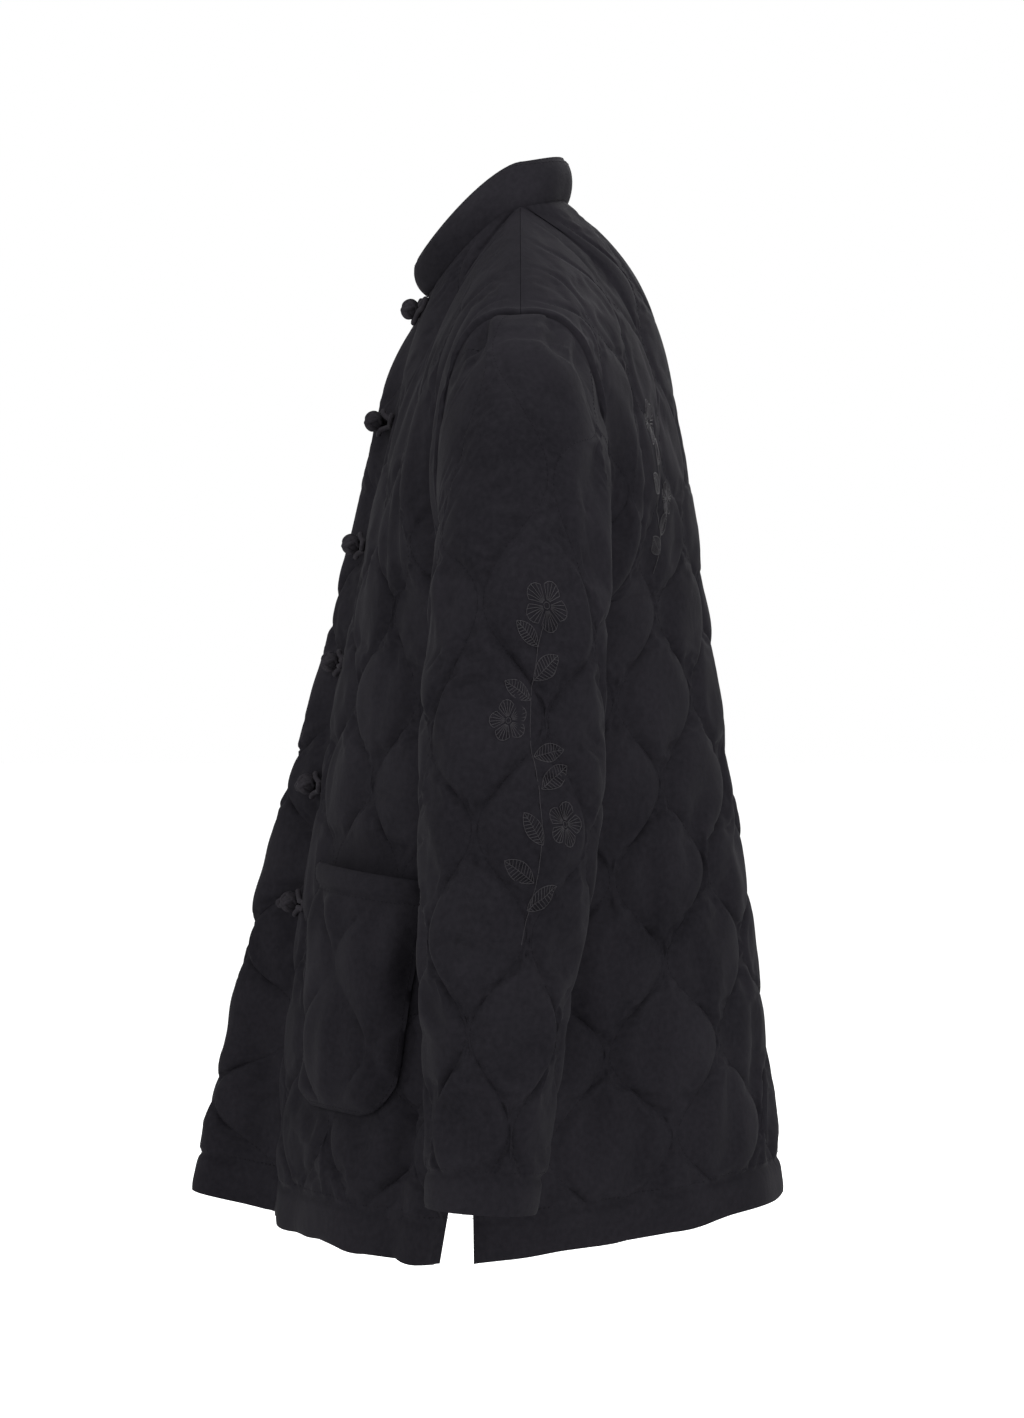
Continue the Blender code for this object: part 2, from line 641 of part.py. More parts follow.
def make_loop(number, z, stand_off, panel, material):
    """A cord doubled into a loop: it runs out from the left front, round behind the knot, and back."""
    path, ups = [], []
    runs = np.linspace(LOOP_RUN, KNOT_RADIUS + CORD_RADIUS + CORD_CLEARANCE, CORD_STEPS)
    rises = stand_off * np.linspace(0, 1, CORD_STEPS) ** 2
    for sign, order in ((1, 1), (-1, -1)):
        for run, rise in zip(runs[::order], rises[::order]):
            point, out = on_panel(panel, z + sign * CORD_PITCH / 2, run)
            path.append(point + out * (CORD_RADIUS + CORD_CLEARANCE + rise))
            ups.append(out)
    radii = [CORD_RADIUS] * len(path)
    tube(f"loop_{number}", path, ups, radii, radii, CORD_SIDES, material)


def main():
    for obj in list(bpy.data.objects):
        bpy.data.objects.remove(obj)
    cloth = cloth_material("black_quilted_cloth", CLOTH_COLOUR, 0.8)
    plain = cloth_material("black_plain_cloth", CLOTH_COLOUR, 0.75)
    cord = cloth_material("black_cord", CORD_COLOUR, 0.65)
    make_back(cloth)
    make_collar(plain)
    panels = {}
    for side in ("left", "right"):
        panels[side] = front_panel(side)
        inside, outside, _, _ = panels[side]
        cloth_wall("front_" + side, outside, inside, cloth)
        make_pocket(side, panels[side], cloth)
        make_sleeve(side, cloth)
    for number, row in enumerate(FASTENINGS, 1):
        place = dict(zip(FASTENING_COLUMNS, row))
        make_knot(number, **place, panel=panels["right"], material=cord)
        make_loop(number, **place, panel=panels["left"], material=cord)


main()
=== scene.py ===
import math

import bmesh
import bpy
import numpy as np
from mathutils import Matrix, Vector


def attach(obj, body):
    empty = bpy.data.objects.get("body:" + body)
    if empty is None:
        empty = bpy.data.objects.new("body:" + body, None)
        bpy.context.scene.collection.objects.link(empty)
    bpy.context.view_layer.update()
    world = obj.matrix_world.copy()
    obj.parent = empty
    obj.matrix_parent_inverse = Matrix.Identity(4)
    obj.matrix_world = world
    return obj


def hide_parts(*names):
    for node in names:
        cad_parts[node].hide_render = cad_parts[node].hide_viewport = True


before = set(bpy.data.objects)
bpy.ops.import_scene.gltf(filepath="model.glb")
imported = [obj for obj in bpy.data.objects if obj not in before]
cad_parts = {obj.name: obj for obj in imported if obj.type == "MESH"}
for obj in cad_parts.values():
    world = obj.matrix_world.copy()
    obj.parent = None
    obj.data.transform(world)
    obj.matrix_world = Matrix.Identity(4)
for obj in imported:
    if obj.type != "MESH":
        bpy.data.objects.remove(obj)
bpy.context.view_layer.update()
print("frame loaded")

# Seam lines and sections, as in the solids but for small changes at the armhole, hem and pockets

neckShape = {
    "halfWidth": 0.083,
    "sideZ": 0.003,
    "front": (0.066, -0.056),  # depth, rise
    "back": (0.033, 0.013),
    "power": 1.4,
    "share": 1 / 3,  # of a half panel's top edge; the rest is shoulder seam
    "crown": 0.006,
}
armholeShape = {
    "tip": (0.235, -0.092),
    "underarm": (0.2325, -0.292),
    "front": -0.054,
    "back": 0.056,
    "inset": 0.012,
    "topPower": 0.65,  # under 1 is broader below the tip than an ellipse
    "end": 0.35,
}
outwardSign = {"front": -1, "back": 1}
panelShape = {
    "seamGap": 0.0003,
    "hemLine": 0.96,
    "ventTop": 0.82,
    "ventHalfGap": 0.0115,
    "bulgePeak": 0.16,
    "bulgeFlatness": 18.0,
    "bulgeRise": 0.012,  # its hem is that much higher there
    "bulgeLow": 0.75,
    "sideHold": 0.06,  # folds end this share from the side seam
    "tight": (0.03, 0.20),  # little padding shows between these shares
    "loosens": 0.12,
    "hemFade": 0.030,
    "frontEdge": 0.006,
    "sectionSteps": 160,
    "rows": 176,
}
quiltShape = {
    "length": 0.125,
    "wave": 0.455,  # of the spacing of the lines
    "pinchZ": -0.4125,
    "waveStart": 0.08,
    "lines": 6,
    "cellColumns": 8,
    "lineWall": 0.0018,
    "puff": 0.0036,
    "puffWidth": 0.030,  # a cell this wide swells to about two thirds
    "profile": 0.62,
    "shoulderShare": 0.18,
    "hemWall": 0.0044,
    "hemRoll": 1.12,
    "fadePower": 0.6,
    "wrinkle": 0.0013,
    "wrinkleWaves": (8, 0.035, 0.11),  # count, shortest, longest
    "hemSway": 0.0034,
    "swayFrom": 0.78,
    "swayWaves": (7, 0.06, 0.16),
    "hemScallop": 0.0015,
    "scallopFrom": 0.9,
    "scallopWaves": (9, 0.05, 0.12),
    "seamLip": 0.0020,  # the body's edge stands up along the armhole seam
    "lipPlace": 0.0045,
    "lipHalf": 0.0035,
    "lipFade": 0.08,
}
bodyColumns = ("share", "frontY", "frontZ", "backY", "backZ", "frontRound", "backRound", "bulge")
bodySections = (
    (0.00, -0.066, -0.053, 0.033, 0.016, 2.0, 2.0, 0.000),
    (0.07, -0.075, -0.080, 0.081, -0.036, 2.2, 2.0, 0.010),
    (0.14, -0.086, -0.121, 0.104, -0.092, 2.6, 2.2, 0.019),
    (0.21, -0.097, -0.172, 0.117, -0.158, 2.8, 2.4, 0.019),
    (0.28, -0.107, -0.224, 0.126, -0.219, 2.6, 2.4, 0.017),
    (0.35, -0.117, -0.276, 0.132, -0.274, 2.4, 2.3, 0.019),
    (0.45, -0.130, -0.345, 0.142, -0.345, 2.3, 2.2, 0.022),
    (0.63, -0.152, -0.472, 0.161, -0.474, 2.1, 2.1, 0.037),
    (0.82, -0.170, -0.610, 0.178, -0.606, 2.0, 2.0, 0.049),
    (1.00, -0.182, -0.743, 0.194, -0.727, 1.9, 1.9, 0.064),
)
sideColumns = ("share", "x", "y", "z")
sideSeam = (
    (0.35, 0.2325, 0.000, -0.292),
    (0.45, 0.2290, -0.006, -0.360),
    (0.63, 0.2320, -0.018, -0.490),
    (0.82, 0.2420, -0.034, -0.620),
    (1.00, 0.2510, -0.044, -0.7475),
)
# soft ridges (+) and troughs (-) from share top to share bottom of a panel or sleeve; place is the
# share across, or the turn from the outer arm line, forwards minus; drift is how far it moves on its way
foldColumns = ("place", "top", "bottom", "halfWidth", "height", "drift")
panelFolds = {
    "back": (
        (0.80, 0.10, 0.44, 0.07, 0.010, 0.00),
        (0.90, 0.16, 0.42, 0.05, -0.007, 0.00),
        (0.74, 0.30, 0.90, 0.05, -0.014, 0.04),
        (0.42, 0.70, 1.06, 0.12, 0.008, 0.00),
    ),
    "front": (
        (0.62, 0.06, 0.40, 0.05, 0.004, 0.06),
        (0.78, 0.10, 0.46, 0.05, -0.004, 0.04),
        (0.80, -0.05, 1.14, 0.05, -0.036, 0.00),
    ),
}


def asTable(columns, rows):
    return dict(zip(columns, np.array(rows, float).T))


def asRows(columns, rows):
    return [dict(zip(columns, row)) for row in rows]


body = asTable(bodyColumns, bodySections)
side = asTable(sideColumns, sideSeam)


def smoothCurve(knots, values, at):
    slopes = np.gradient(values, knots)
    i = np.clip(np.searchsorted(knots, at, side="right") - 1, 0, len(knots) - 2)
    step = knots[i + 1] - knots[i]
    t = (at - knots[i]) / step
    return (
        values[i] * (1 + 2 * t) * (1 - t) ** 2
        + slopes[i] * step * t * (1 - t) ** 2
        + values[i + 1] * t**2 * (3 - 2 * t)
        + slopes[i + 1] * step * t**2 * (t - 1)
    )


def ease(t):
    t = np.clip(t, 0, 1)
    return t * t * (3 - 2 * t)


def easeFrom(start, at):
    return ease((at - start) / (1 - start))


def unit(vectors):
    return vectors / np.maximum(np.linalg.norm(vectors, axis=-1, keepdims=True), 1e-12)


def mirrored(points):
    return points * np.array((-1.0, 1.0, 1.0))


def onCircle(angle):
    return np.stack((np.cos(angle), np.sin(angle)), -1)


def runLength(line):
    return np.concatenate(([0], np.cumsum(np.linalg.norm(np.diff(line, axis=0), axis=1))))


def ripple(seed, waves, s, z):
    # soft uneven waves, about -1 to 1
    count, shortest, longest = waves
    draw = np.random.default_rng(seed)
    total = np.zeros(np.broadcast(s, z).shape)
    for _ in range(count):
        turn = draw.uniform(0, 2 * math.pi)
        length = math.exp(draw.uniform(math.log(shortest), math.log(longest)))
        run = s * math.cos(turn) + z * math.sin(turn)
        total += np.sin(2 * math.pi / length * run + draw.uniform(0, 2 * math.pi))
    return total / math.sqrt(count)


def foldLift(rows, shares, where, power, start=0.0, turning=False):
    lift = np.zeros_like(where)
    for fold in asRows(foldColumns, rows):
        run = np.clip((shares[:, None] - fold["top"]) / (fold["bottom"] - fold["top"]), 0, 1)
        away = where - fold["place"] - fold["drift"] * run
        if turning:
            away = (away + math.pi) % (2 * math.pi) - math.pi
        grow = np.sin(math.pi * np.clip(start + (1 - start) * run, 0, 1)) ** power
        lift += fold["height"] * np.exp(-((away / fold["halfWidth"]) ** 2)) * grow
    return lift


def neckQuarter(shape, face, angle):
    depth, rise = shape[face]
    across = np.cos(angle)
    height = shape["sideZ"] + rise * np.maximum(across, 0) ** neckShape["power"]
    depth *= outwardSign[face]
    return np.stack((shape["halfWidth"] * np.sin(angle), depth * across, height), -1)


def armhole(face, turn):
    (tipX, tipZ), (underX, underZ) = armholeShape["tip"], armholeShape["underarm"]
    down = (1 - np.cos(turn)) / 2
    x = tipX + (underX - tipX) * down - armholeShape["inset"] * np.sin(turn) ** 2
    power = np.where(down < 0.5, armholeShape["topPower"], 1.0)
    y = armholeShape[face] * np.abs(np.sin(turn)) ** power
    return np.stack((x, y, tipZ + (underZ - tipZ) * down), -1)


def armholeOutward(face, turn):
    depth = armholeShape[face]
    halfHeight = (armholeShape["tip"][1] - armholeShape["underarm"][1]) / 2
    y = halfHeight * np.sin(turn) * np.sign(depth)
    return unit(np.stack((np.zeros_like(turn), y, abs(depth) * np.cos(turn)), -1))


def panelEdge(face, share):
    sign = outwardSign[face]
    if share <= armholeShape["end"]:
        point = armhole(face, np.array(math.pi * share / armholeShape["end"]))
        return point + np.array((-1, sign, 0)) * panelShape["seamGap"] / 2
    point = np.array([smoothCurve(side["share"], side[axis], share) for axis in "xyz"])
    opened = max(0.0, share - panelShape["ventTop"]) / (1 - panelShape["ventTop"])
    point[1] += sign * (panelShape["seamGap"] / 2 + panelShape["ventHalfGap"] * opened)
    return point


def sectionLine(face, share, bulgeSide=False):
    s = np.linspace(0, 1, panelShape["sectionSteps"])
    edge = panelEdge(face, share)
    middleY = smoothCurve(body["share"], body[face + "Y"], share)
    middleZ = smoothCurve(body["share"], body[face + "Z"], share)
    power = smoothCurve(body["share"], body[face + "Round"], share)
    if bulgeSide:
        power += panelShape["bulgeFlatness"] * smoothCurve(body["share"], body["bulge"], share)
    depth = edge[1] + (middleY - edge[1]) * (1 - s**power)
    return np.stack((edge[0] * s, depth, middleZ + (edge[2] - middleZ) * s**2), -1)


def along(line, at):
    lengths = runLength(line)
    end = lengths[-1]
    return np.stack([np.interp(at * end, lengths, line[:, k]) for k in range(3)], -1), end


def outwardNormals(grid, sign, closed=False):
    if closed:
        across = np.roll(grid, -1, axis=1) - np.roll(grid, 1, axis=1)
    else:
        across = np.gradient(grid, axis=1)
    return sign * unit(np.cross(across, np.gradient(grid, axis=0)))


# Cloth walls

def meshPiece(name, points, faces, material):
    mesh = bpy.data.meshes.new(name)
    mesh.from_pydata(np.asarray(points).tolist(), [], faces)
    made = bmesh.new()
    made.from_mesh(mesh)
    bmesh.ops.recalc_face_normals(made, faces=made.faces)
    made.to_mesh(mesh)
    made.free()
    mesh.shade_smooth()
    mesh.materials.append(material)
    piece = bpy.data.objects.new(name, mesh)
    bpy.context.scene.collection.objects.link(piece)
    return piece


def indexGrid(grid, closed, first=0):
    index = np.arange(grid.shape[0] * grid.shape[1]).reshape(grid.shape[:2]) + first
    return np.concatenate((index, index[:, :1]), axis=1) if closed else index


def quads(index):
    return np.stack((index[:-1, :-1], index[1:, :-1], index[1:, 1:], index[:-1, 1:]), -1).reshape(-1, 4)


def clothWall(name, outside, inside, material, closed=False):
    # a fine outside over a coarser plain inside, joined all round their edges
    index = indexGrid(outside, closed)
    under = indexGrid(inside, closed, outside.shape[0] * outside.shape[1])
    faces = quads(index).tolist() + quads(under)[:, ::-1].tolist()
    borders = [(index[0], under[0]), (index[-1], under[-1])]
    if not closed:
        borders += [(index[:, 0], under[:, 0]), (index[:, -1], under[:, -1])]
    for above, below in borders:
        step = (len(above) - 1) // (len(below) - 1)
        for k in range(len(below) - 1):
            faces.append(above[k * step : (k + 1) * step + 1].tolist() + [below[k + 1], below[k]])
    points = np.concatenate((outside.reshape(-1, 3), inside.reshape(-1, 3)))
    piece = meshPiece(name, points, faces, material)
    piece.data.set_sharp_from_angle(angle=math.radians(70))
    return piece


def halved(rows):
    # one more row between each two, on a smooth curve
    slope = np.gradient(rows, axis=0)
    made = np.empty((2 * len(rows) - 1,) + rows.shape[1:])
    made[0::2] = rows
    made[1::2] = (rows[:-1] + rows[1:]) / 2 + (slope[:-1] - slope[1:]) / 8
    return made


def upsample(grid, cell, closed=False):
    # twice the rows and columns; across, each cell between sewn lines is rounded on its own
    if closed:
        grid = np.concatenate((grid, grid[:, :1]), axis=1)
    columns = grid.swapaxes(0, 1)
    starts = range(0, len(columns) - 1, cell)
    parts = [halved(columns[start : start + cell + 1])[:-1] for start in starts]
    if not closed:
        parts.append(columns[-1:])
    return halved(np.concatenate(parts).swapaxes(0, 1))


# Body panels

pocketShape = {
    "across": (0.305, 0.737),
    "shares": (0.632, 0.872),
    "columns": 56,
    "rows": 64,
    "cornerRadius": 0.030,
    "clear": 0.0005,
    "ground": 0.0034,  # the front is held this thin under the pocket
    "groundAbove": 0.02,
    "groundSpan": (0.31, 0.68),  # metres per share across and down
    "groundFade": 0.016,
    "room": 0.012,
    "wall": 0.0016,
    "puff": 0.0062,
    "band": 0.09,  # share of the pocket's height
    "bandWall": 0.0042,
    "bandRoll": 1.06,
    "cornerLift": 0.005,
    "cornerSpan": (0.35, 0.12),
    "edgeFade": 0.012,
    "bandFade": 0.010,
    "panelWidth": 0.31,
    "panelLength": 0.69,
}


def topEdge(face, across):
    neckPart = neckShape["share"]
    neck = neckQuarter(neckShape, face, np.minimum(across / neckPart, 1) * math.pi / 2)
    down = np.clip((across - neckPart) / (1 - neckPart), 0, 1)[:, None]
    start = np.array((neckShape["halfWidth"], 0, neckShape["sideZ"]))
    tip = np.array((armholeShape["tip"][0] - panelShape["seamGap"] / 2, 0, armholeShape["tip"][1]))
    crown = np.array((0, 0, neckShape["crown"])) * np.sin(math.pi * down)
    shoulder = start + (tip - start) * down + crown
    points = np.where(across[:, None] <= neckPart, neck, shoulder)
    points[:, 1] += outwardSign[face] * panelShape["seamGap"] / 2 * np.clip(across / neckPart, 0, 1)
    return points


def neckOutward(face, angle):
    around = neckQuarter(neckShape, face, angle + 0.01) - neckQuarter(neckShape, face, angle - 0.01)
    rise = neckQuarter(collarShape, face, angle) - neckQuarter(neckShape, face, angle)
    return unit(np.cross(rise, around) * outwardSign[face])


def topOutward(face, across):
    neckPart = neckShape["share"]
    neck = neckOutward(face, np.minimum(across / neckPart, 1) * math.pi / 2)
    tipX, tipZ = armholeShape["tip"]
    slope = unit(np.array((neckShape["sideZ"] - tipZ, 0, tipX - neckShape["halfWidth"])))
    return np.where(across[:, None] < neckPart + 1e-6, neck, slope)


def quiltWave(shares, heights, pinchZ):
    wave = np.cos(2 * math.pi * (heights - pinchZ) / quiltShape["length"])
    return wave * np.clip(shares / quiltShape["waveStart"], 0, 1)


def sewnLines(shares, heights):
    # share across of each sewn line, between the two edges of the half panel
    quilt = quiltShape
    wave = quiltWave(shares, heights, quilt["pinchZ"])
    lines = [np.zeros_like(heights)]
    for i in range(quilt["lines"]):
        lines.append((i + 0.5 + quilt["wave"] * wave * (-1) ** i) / quilt["lines"])
    lines.append(np.ones_like(heights))
    return np.stack(lines, -1)


def cellPlaces(lines):
    # even columns from each sewn line to the next, their cells' widths and how far across they are
    n = quiltShape["cellColumns"]
    steps = np.arange(n) / n
    gaps = np.diff(lines, axis=1)
    places = (lines[:, :-1, None] + gaps[..., None] * steps).reshape(len(lines), -1)
    return places, np.repeat(gaps, n, axis=1), np.tile(steps, gaps.shape[1])


def puffOver(width, t, seed, s, z):
    # height of the padding across a cell of this width
    quilt = quiltShape
    full = quilt["puff"] * (1 - np.exp(-width / quilt["puffWidth"]))
    crown = np.clip(4 * t * (1 - t), 0, 1) ** quilt["profile"]
    return full * crown + ripple(seed, quilt["wrinkleWaves"], s, z) * quilt["wrinkle"] * crown


def rolled(at, end):
    # a round profile that ends a little past 1
    return np.clip(4 * at * (end - at), 0, 1) ** 0.5


def hemBand(shape, shares):
    # the rows of the turned-up hem, its wall, and how the padding fades out above it
    quilt, line = quiltShape, shape["hemLine"]
    band = shares >= line
    below = (shares[band] - line) / (1 - line)
    wall = quilt["lineWall"] + (quilt["hemWall"] - quilt["lineWall"]) * rolled(below, quilt["hemRoll"])
    fade = np.clip((line - shares) / shape["hemFade"], 0, 1) ** quilt["fadePower"]
    return band, wall[:, None], fade[:, None]


def underPocket(across, shares):
    # 1 under the pocket, 0 well outside it
    (left, right), (top, bottom) = pocketShape["across"], pocketShape["shares"]
    wide, tall = pocketShape["groundSpan"]
    outside = np.maximum(np.maximum(left - across, across - right) * wide, 0)
    above = np.maximum(np.maximum(top - pocketShape["groundAbove"] - shares, shares - bottom) * tall, 0)
    return 1 - ease(np.hypot(outside, above) / pocketShape["groundFade"])


def asPanel(inside, out, wall, **values):
    return {"inside": inside, "out": out, "outside": inside + out * wall[..., None], **values}


def makePanel(face, seed, bulgeSide=False):
    quilt, end, isFront = quiltShape, armholeShape["end"], face == "front"
    shares = np.linspace(0, 1, panelShape["rows"] + 1)
    down = shares[:, None]
    lines = sewnLines(shares, smoothCurve(body["share"], body[face + "Z"], shares))
    places, gaps, steps = cellPlaces(lines)
    across = np.concatenate((places, lines[:, -1:]), axis=1)
    gaps, t = np.concatenate((gaps, gaps[:, -1:]), axis=1), np.append(steps, 0.0)
    inside = np.empty(across.shape + (3,))
    widths = np.empty((len(shares), 1))
    topLine = sectionLine(face, 0.0)
    for row, share in enumerate(shares):
        inside[row], widths[row] = along(sectionLine(face, share, bulgeSide), across[row])
        fade = max(0.0, 1 - share / end) ** 2
        inside[row] += fade * (topEdge(face, across[row]) - along(topLine, across[row])[0])
    if bulgeSide:
        peak = panelShape["bulgePeak"]
        swell = ease(across / peak) * (1 - easeFrom(peak, across))
        inside[..., 1] -= smoothCurve(body["share"], body["bulge"], shares)[:, None] * swell
        inside[..., 2] += panelShape["bulgeRise"] * swell * easeFrom(panelShape["bulgeLow"], down)
    s = across * widths
    lift = foldLift(panelFolds[face], shares, across, 2)
    sways = ripple(seed + 5, quilt["swayWaves"], s, 0 * s) * easeFrom(quilt["swayFrom"], down)
    lift += quilt["hemSway"] * sways
    lift *= np.clip((1 - across) / panelShape["sideHold"], 0, 1)
    inside += lift[..., None] * outwardNormals(inside, outwardSign[face])
    scallops = ripple(seed + 9, quilt["scallopWaves"], s, 0 * s) * easeFrom(quilt["scallopFrom"], down)
    inside[..., 2] += quilt["hemScallop"] * scallops
    inside[:, 0, 0] += panelShape["seamGap"] / 2 if isFront else 0
    out = outwardNormals(inside, outwardSign[face])
    out[shares > end, -1] = (1, 0, 0)
    out[shares <= end, -1] = armholeOutward(face, math.pi * shares[shares <= end] / end)
    out[0, :-1] = topOutward(face, across[0])[:-1]
    if isFront:
        out[1:, 0] = unit(out[1:, 0] * (0, 1, 1))
    held = quilt["shoulderShare"]
    stops = (0, *panelShape["tight"], end + panelShape["loosens"])
    loose = np.interp(down, stops, (0, held, held, 1)) * np.ones_like(across)
    most = np.full(across.shape, paddingSim["most"])
    if isFront:
        under = underPocket(across, down)
        loose *= 1 - under
        most += (pocketShape["ground"] - most) * under
    band, hemWall, hemFade = hemBand(panelShape, shares)
    wall = quilt["lineWall"] + puffOver(gaps * widths, t, seed, s, inside[..., 2]) * loose * hemFade
    lip = np.exp(-(((widths - s - quilt["lipPlace"]) / quilt["lipHalf"]) ** 2)) * (down < end)
    wall += quilt["seamLip"] * lip * np.clip((end - down) / quilt["lipFade"], 0, 1)
    wall[band] = hemWall
    if isFront:
        edges = np.clip(np.minimum(s, widths - s) / panelShape["frontEdge"], 0, 1)
        wall[band] = quilt["lineWall"] + ((wall - quilt["lineWall"]) * edges)[band]
    lineColumns = [quilt["cellColumns"] * k for k in range(1, lines.shape[1] - 1)]
    fixed = np.zeros(across.shape, bool)
    fixed[:, lineColumns + [-1]] = True
    fixed[0] = True
    fixed[band] = True
    fixed[:, 0] |= isFront
    sewn = {"fixed": fixed, "lineColumns": lineColumns, "closed": False}
    return asPanel(inside, out, wall, where=across, shares=shares, loose=loose, most=most, **sewn)


def mirroredPanel(panel):
    made = dict(panel)
    for name in ("inside", "outside", "out"):
        made[name] = mirrored(panel[name])
    return made


def bothHalves(panel):
    made = mirroredPanel(panel)
    for name in ("inside", "outside", "out"):
        made[name] = np.concatenate((made[name][:, :0:-1], panel[name]), axis=1)
    for name, sign in (("loose", 1), ("fixed", 1), ("most", 1), ("where", -1)):
        made[name] = np.concatenate((sign * panel[name][:, :0:-1], panel[name]), axis=1)
    made["fixed"] = made["fixed"].astype(bool)
    last = panel["where"].shape[1] - 1
    made["lineColumns"] = [last + sign * column for column in panel["lineColumns"] for sign in (-1, 1)]
    return made


# Sleeves

sleeveShape = {
    "lines": 8,
    "rows": 144,
    "pinchZ": -0.5215,
    "hemLine": 0.958,
    "hemFade": 0.014,
    "armLength": 0.68,
    "around": 0.36,
    "looseStops": (0, 0.04, 0.20, 0.48),
    "looser": 1.4,
    "headFullness": 0.0026,  # gathered into the armhole seam
    "headRun": (0.022, 0.22),
    "headSewn": 0.10,  # this share of the head stays as it is cut
    "creaseGrowth": (1.2, 0.08),  # power, start
    "creaseFade": 0.012,
}
sleeveColumns = ("share", "outerX", "outerZ", "innerX", "innerZ", "middleY", "depth", "slope")
sleeveSections = (
    (0.07, 0.262, -0.103, 0.2390, -0.3000, 0.001, 0.108, 0.00),
    (0.15, 0.297, -0.132, 0.2480, -0.3120, 0.001, 0.106, 0.00),
    (0.25, 0.328, -0.188, 0.2560, -0.3320, -0.001, 0.108, 0.00),
    (0.36, 0.347, -0.262, 0.2605, -0.3660, -0.004, 0.112, 0.00),
    (0.49, 0.358, -0.355, 0.2640, -0.4150, -0.006, 0.114, 0.00),
    (0.61, 0.363, -0.440, 0.2670, -0.4740, -0.009, 0.111, -0.01),
    (0.74, 0.364, -0.532, 0.2700, -0.5480, -0.016, 0.095, -0.03),
    (0.86, 0.362, -0.613, 0.2730, -0.6220, -0.020, 0.079, -0.05),
    (1.00, 0.359, -0.698, 0.2760, -0.7010, -0.027, 0.068, -0.06),
)
arm = asTable(sleeveColumns, sleeveSections)
# tucks below the shoulder tip and soft creases, by foldColumns
sleeveCreases = (
    (-0.34, 0.000, 0.110, 0.09, -0.0060, -0.30),
    (-0.16, 0.000, 0.085, 0.09, 0.0024, -0.14),
    (0.30, 0.000, 0.125, 0.09, -0.0058, 0.16),
    (0.14, 0.000, 0.080, 0.09, 0.0024, 0.06),
    (-0.72, 0.000, 0.080, 0.10, -0.0046, -0.16),
    (0.70, 0.000, 0.090, 0.10, -0.0048, 0.12),
    (-1.10, 0.000, 0.070, 0.12, -0.0036, -0.10),
    (1.12, 0.000, 0.100, 0.12, -0.0042, 0.12),
    (0.07, 0.010, 0.360, 0.07, 0.0026, 0.02),
    (-0.75, 0.080, 0.400, 0.20, -0.0040, -0.20),
    (0.95, 0.050, 0.360, 0.22, -0.0050, 0.25),
    (1.35, 0.080, 0.420, 0.20, 0.0060, 0.15),
    (-1.40, 0.420, 0.720, 0.28, -0.0040, 0.20),
    (0.55, 0.520, 0.800, 0.25, -0.0030, 0.35),
)


def bothFaces(line, turns):
    # the back half of an armhole line and then its front half
    isBack = (np.sin(turns) >= 0)[:, None]
    return np.where(isBack, line("back", turns), line("front", 2 * math.pi - turns))


def sleeveRing(share, turns):
    start = arm["share"][0]
    at = max(share, start)
    value = {name: smoothCurve(arm["share"], arm[name], at) for name in sleeveColumns[1:]}
    outer = np.array((value["outerX"], value["middleY"], value["outerZ"]))
    inner = np.array((value["innerX"], value["middleY"], value["innerZ"]))
    deep = value["depth"] / 2 * np.sin(turns)
    ring = (outer + inner) / 2 + (outer - inner) / 2 * np.cos(turns)[:, None]
    ring[:, 1] += deep
    ring[:, 2] += value["slope"] * deep
    if share >= start:
        return ring
    seam = bothFaces(armhole, turns)
    seam[:, 0] += panelShape["seamGap"] / 2
    return seam + (ring - seam) * share / start


def makeSleeve(shape, seed):
    quilt = quiltShape
    shares = np.linspace(0, 1, shape["rows"] + 1)
    down = shares[:, None]
    middleZ = (arm["outerZ"] + arm["innerZ"]) / 2
    heights = smoothCurve(arm["share"], middleZ, np.maximum(shares, arm["share"][0]))
    wave = quiltWave(shares, heights, shape["pinchZ"])[:, None]
    number = np.arange(shape["lines"] + 1)
    lines = 2 * math.pi / shape["lines"] * (number + quilt["wave"] * wave * (-1.0) ** number)
    turns, gaps, t = cellPlaces(lines)
    inside = np.stack([sleeveRing(share, turns[row]) for row, share in enumerate(shares)])
    around = np.linalg.norm(inside - np.roll(inside, 1, axis=1), axis=-1).sum(axis=1, keepdims=True)
    out = outwardNormals(inside, -1, closed=True)
    out[0] = bothFaces(armholeOutward, turns[0])
    power, start = shape["creaseGrowth"]
    lift = foldLift(sleeveCreases, shares, turns, power, start, turning=True)
    lift *= np.clip(down / shape["creaseFade"], 0, 1)
    s = turns / (2 * math.pi) * shape["around"]
    z = -down * shape["armLength"] + 0 * s
    held = quilt["shoulderShare"]
    shown = (0, held, held * shape["looser"], 1)
    loose = np.interp(down, shape["looseStops"], shown) * np.ones_like(turns)
    puff = puffOver(gaps * around / (2 * math.pi), t, seed, s, z) * loose
    full, thin = shape["headRun"]
    puff += shape["headFullness"] * ease(down / full) * (1 - ease((down - full) / thin))
    band, hemWall, hemFade = hemBand(shape, shares)
    wall = quilt["lineWall"] + np.maximum(puff * hemFade + lift, 0)
    wall[band] = hemWall
    fixed = np.zeros(turns.shape, bool)
    fixed[:, :: quilt["cellColumns"]] = True
    fixed[shares < shape["headSewn"]] = True
    fixed[band] = True
    lineColumns = [quilt["cellColumns"] * k for k in range(shape["lines"])]
    most = np.full(turns.shape, paddingSim["most"])
    sewn = {"fixed": fixed, "lineColumns": lineColumns, "closed": True}
    return asPanel(inside, out, wall, where=turns, shares=shares, loose=loose, most=most, **sewn)


# Padding: the outer cloth is held at its sewn lines and edges, given spare length and blown up a little

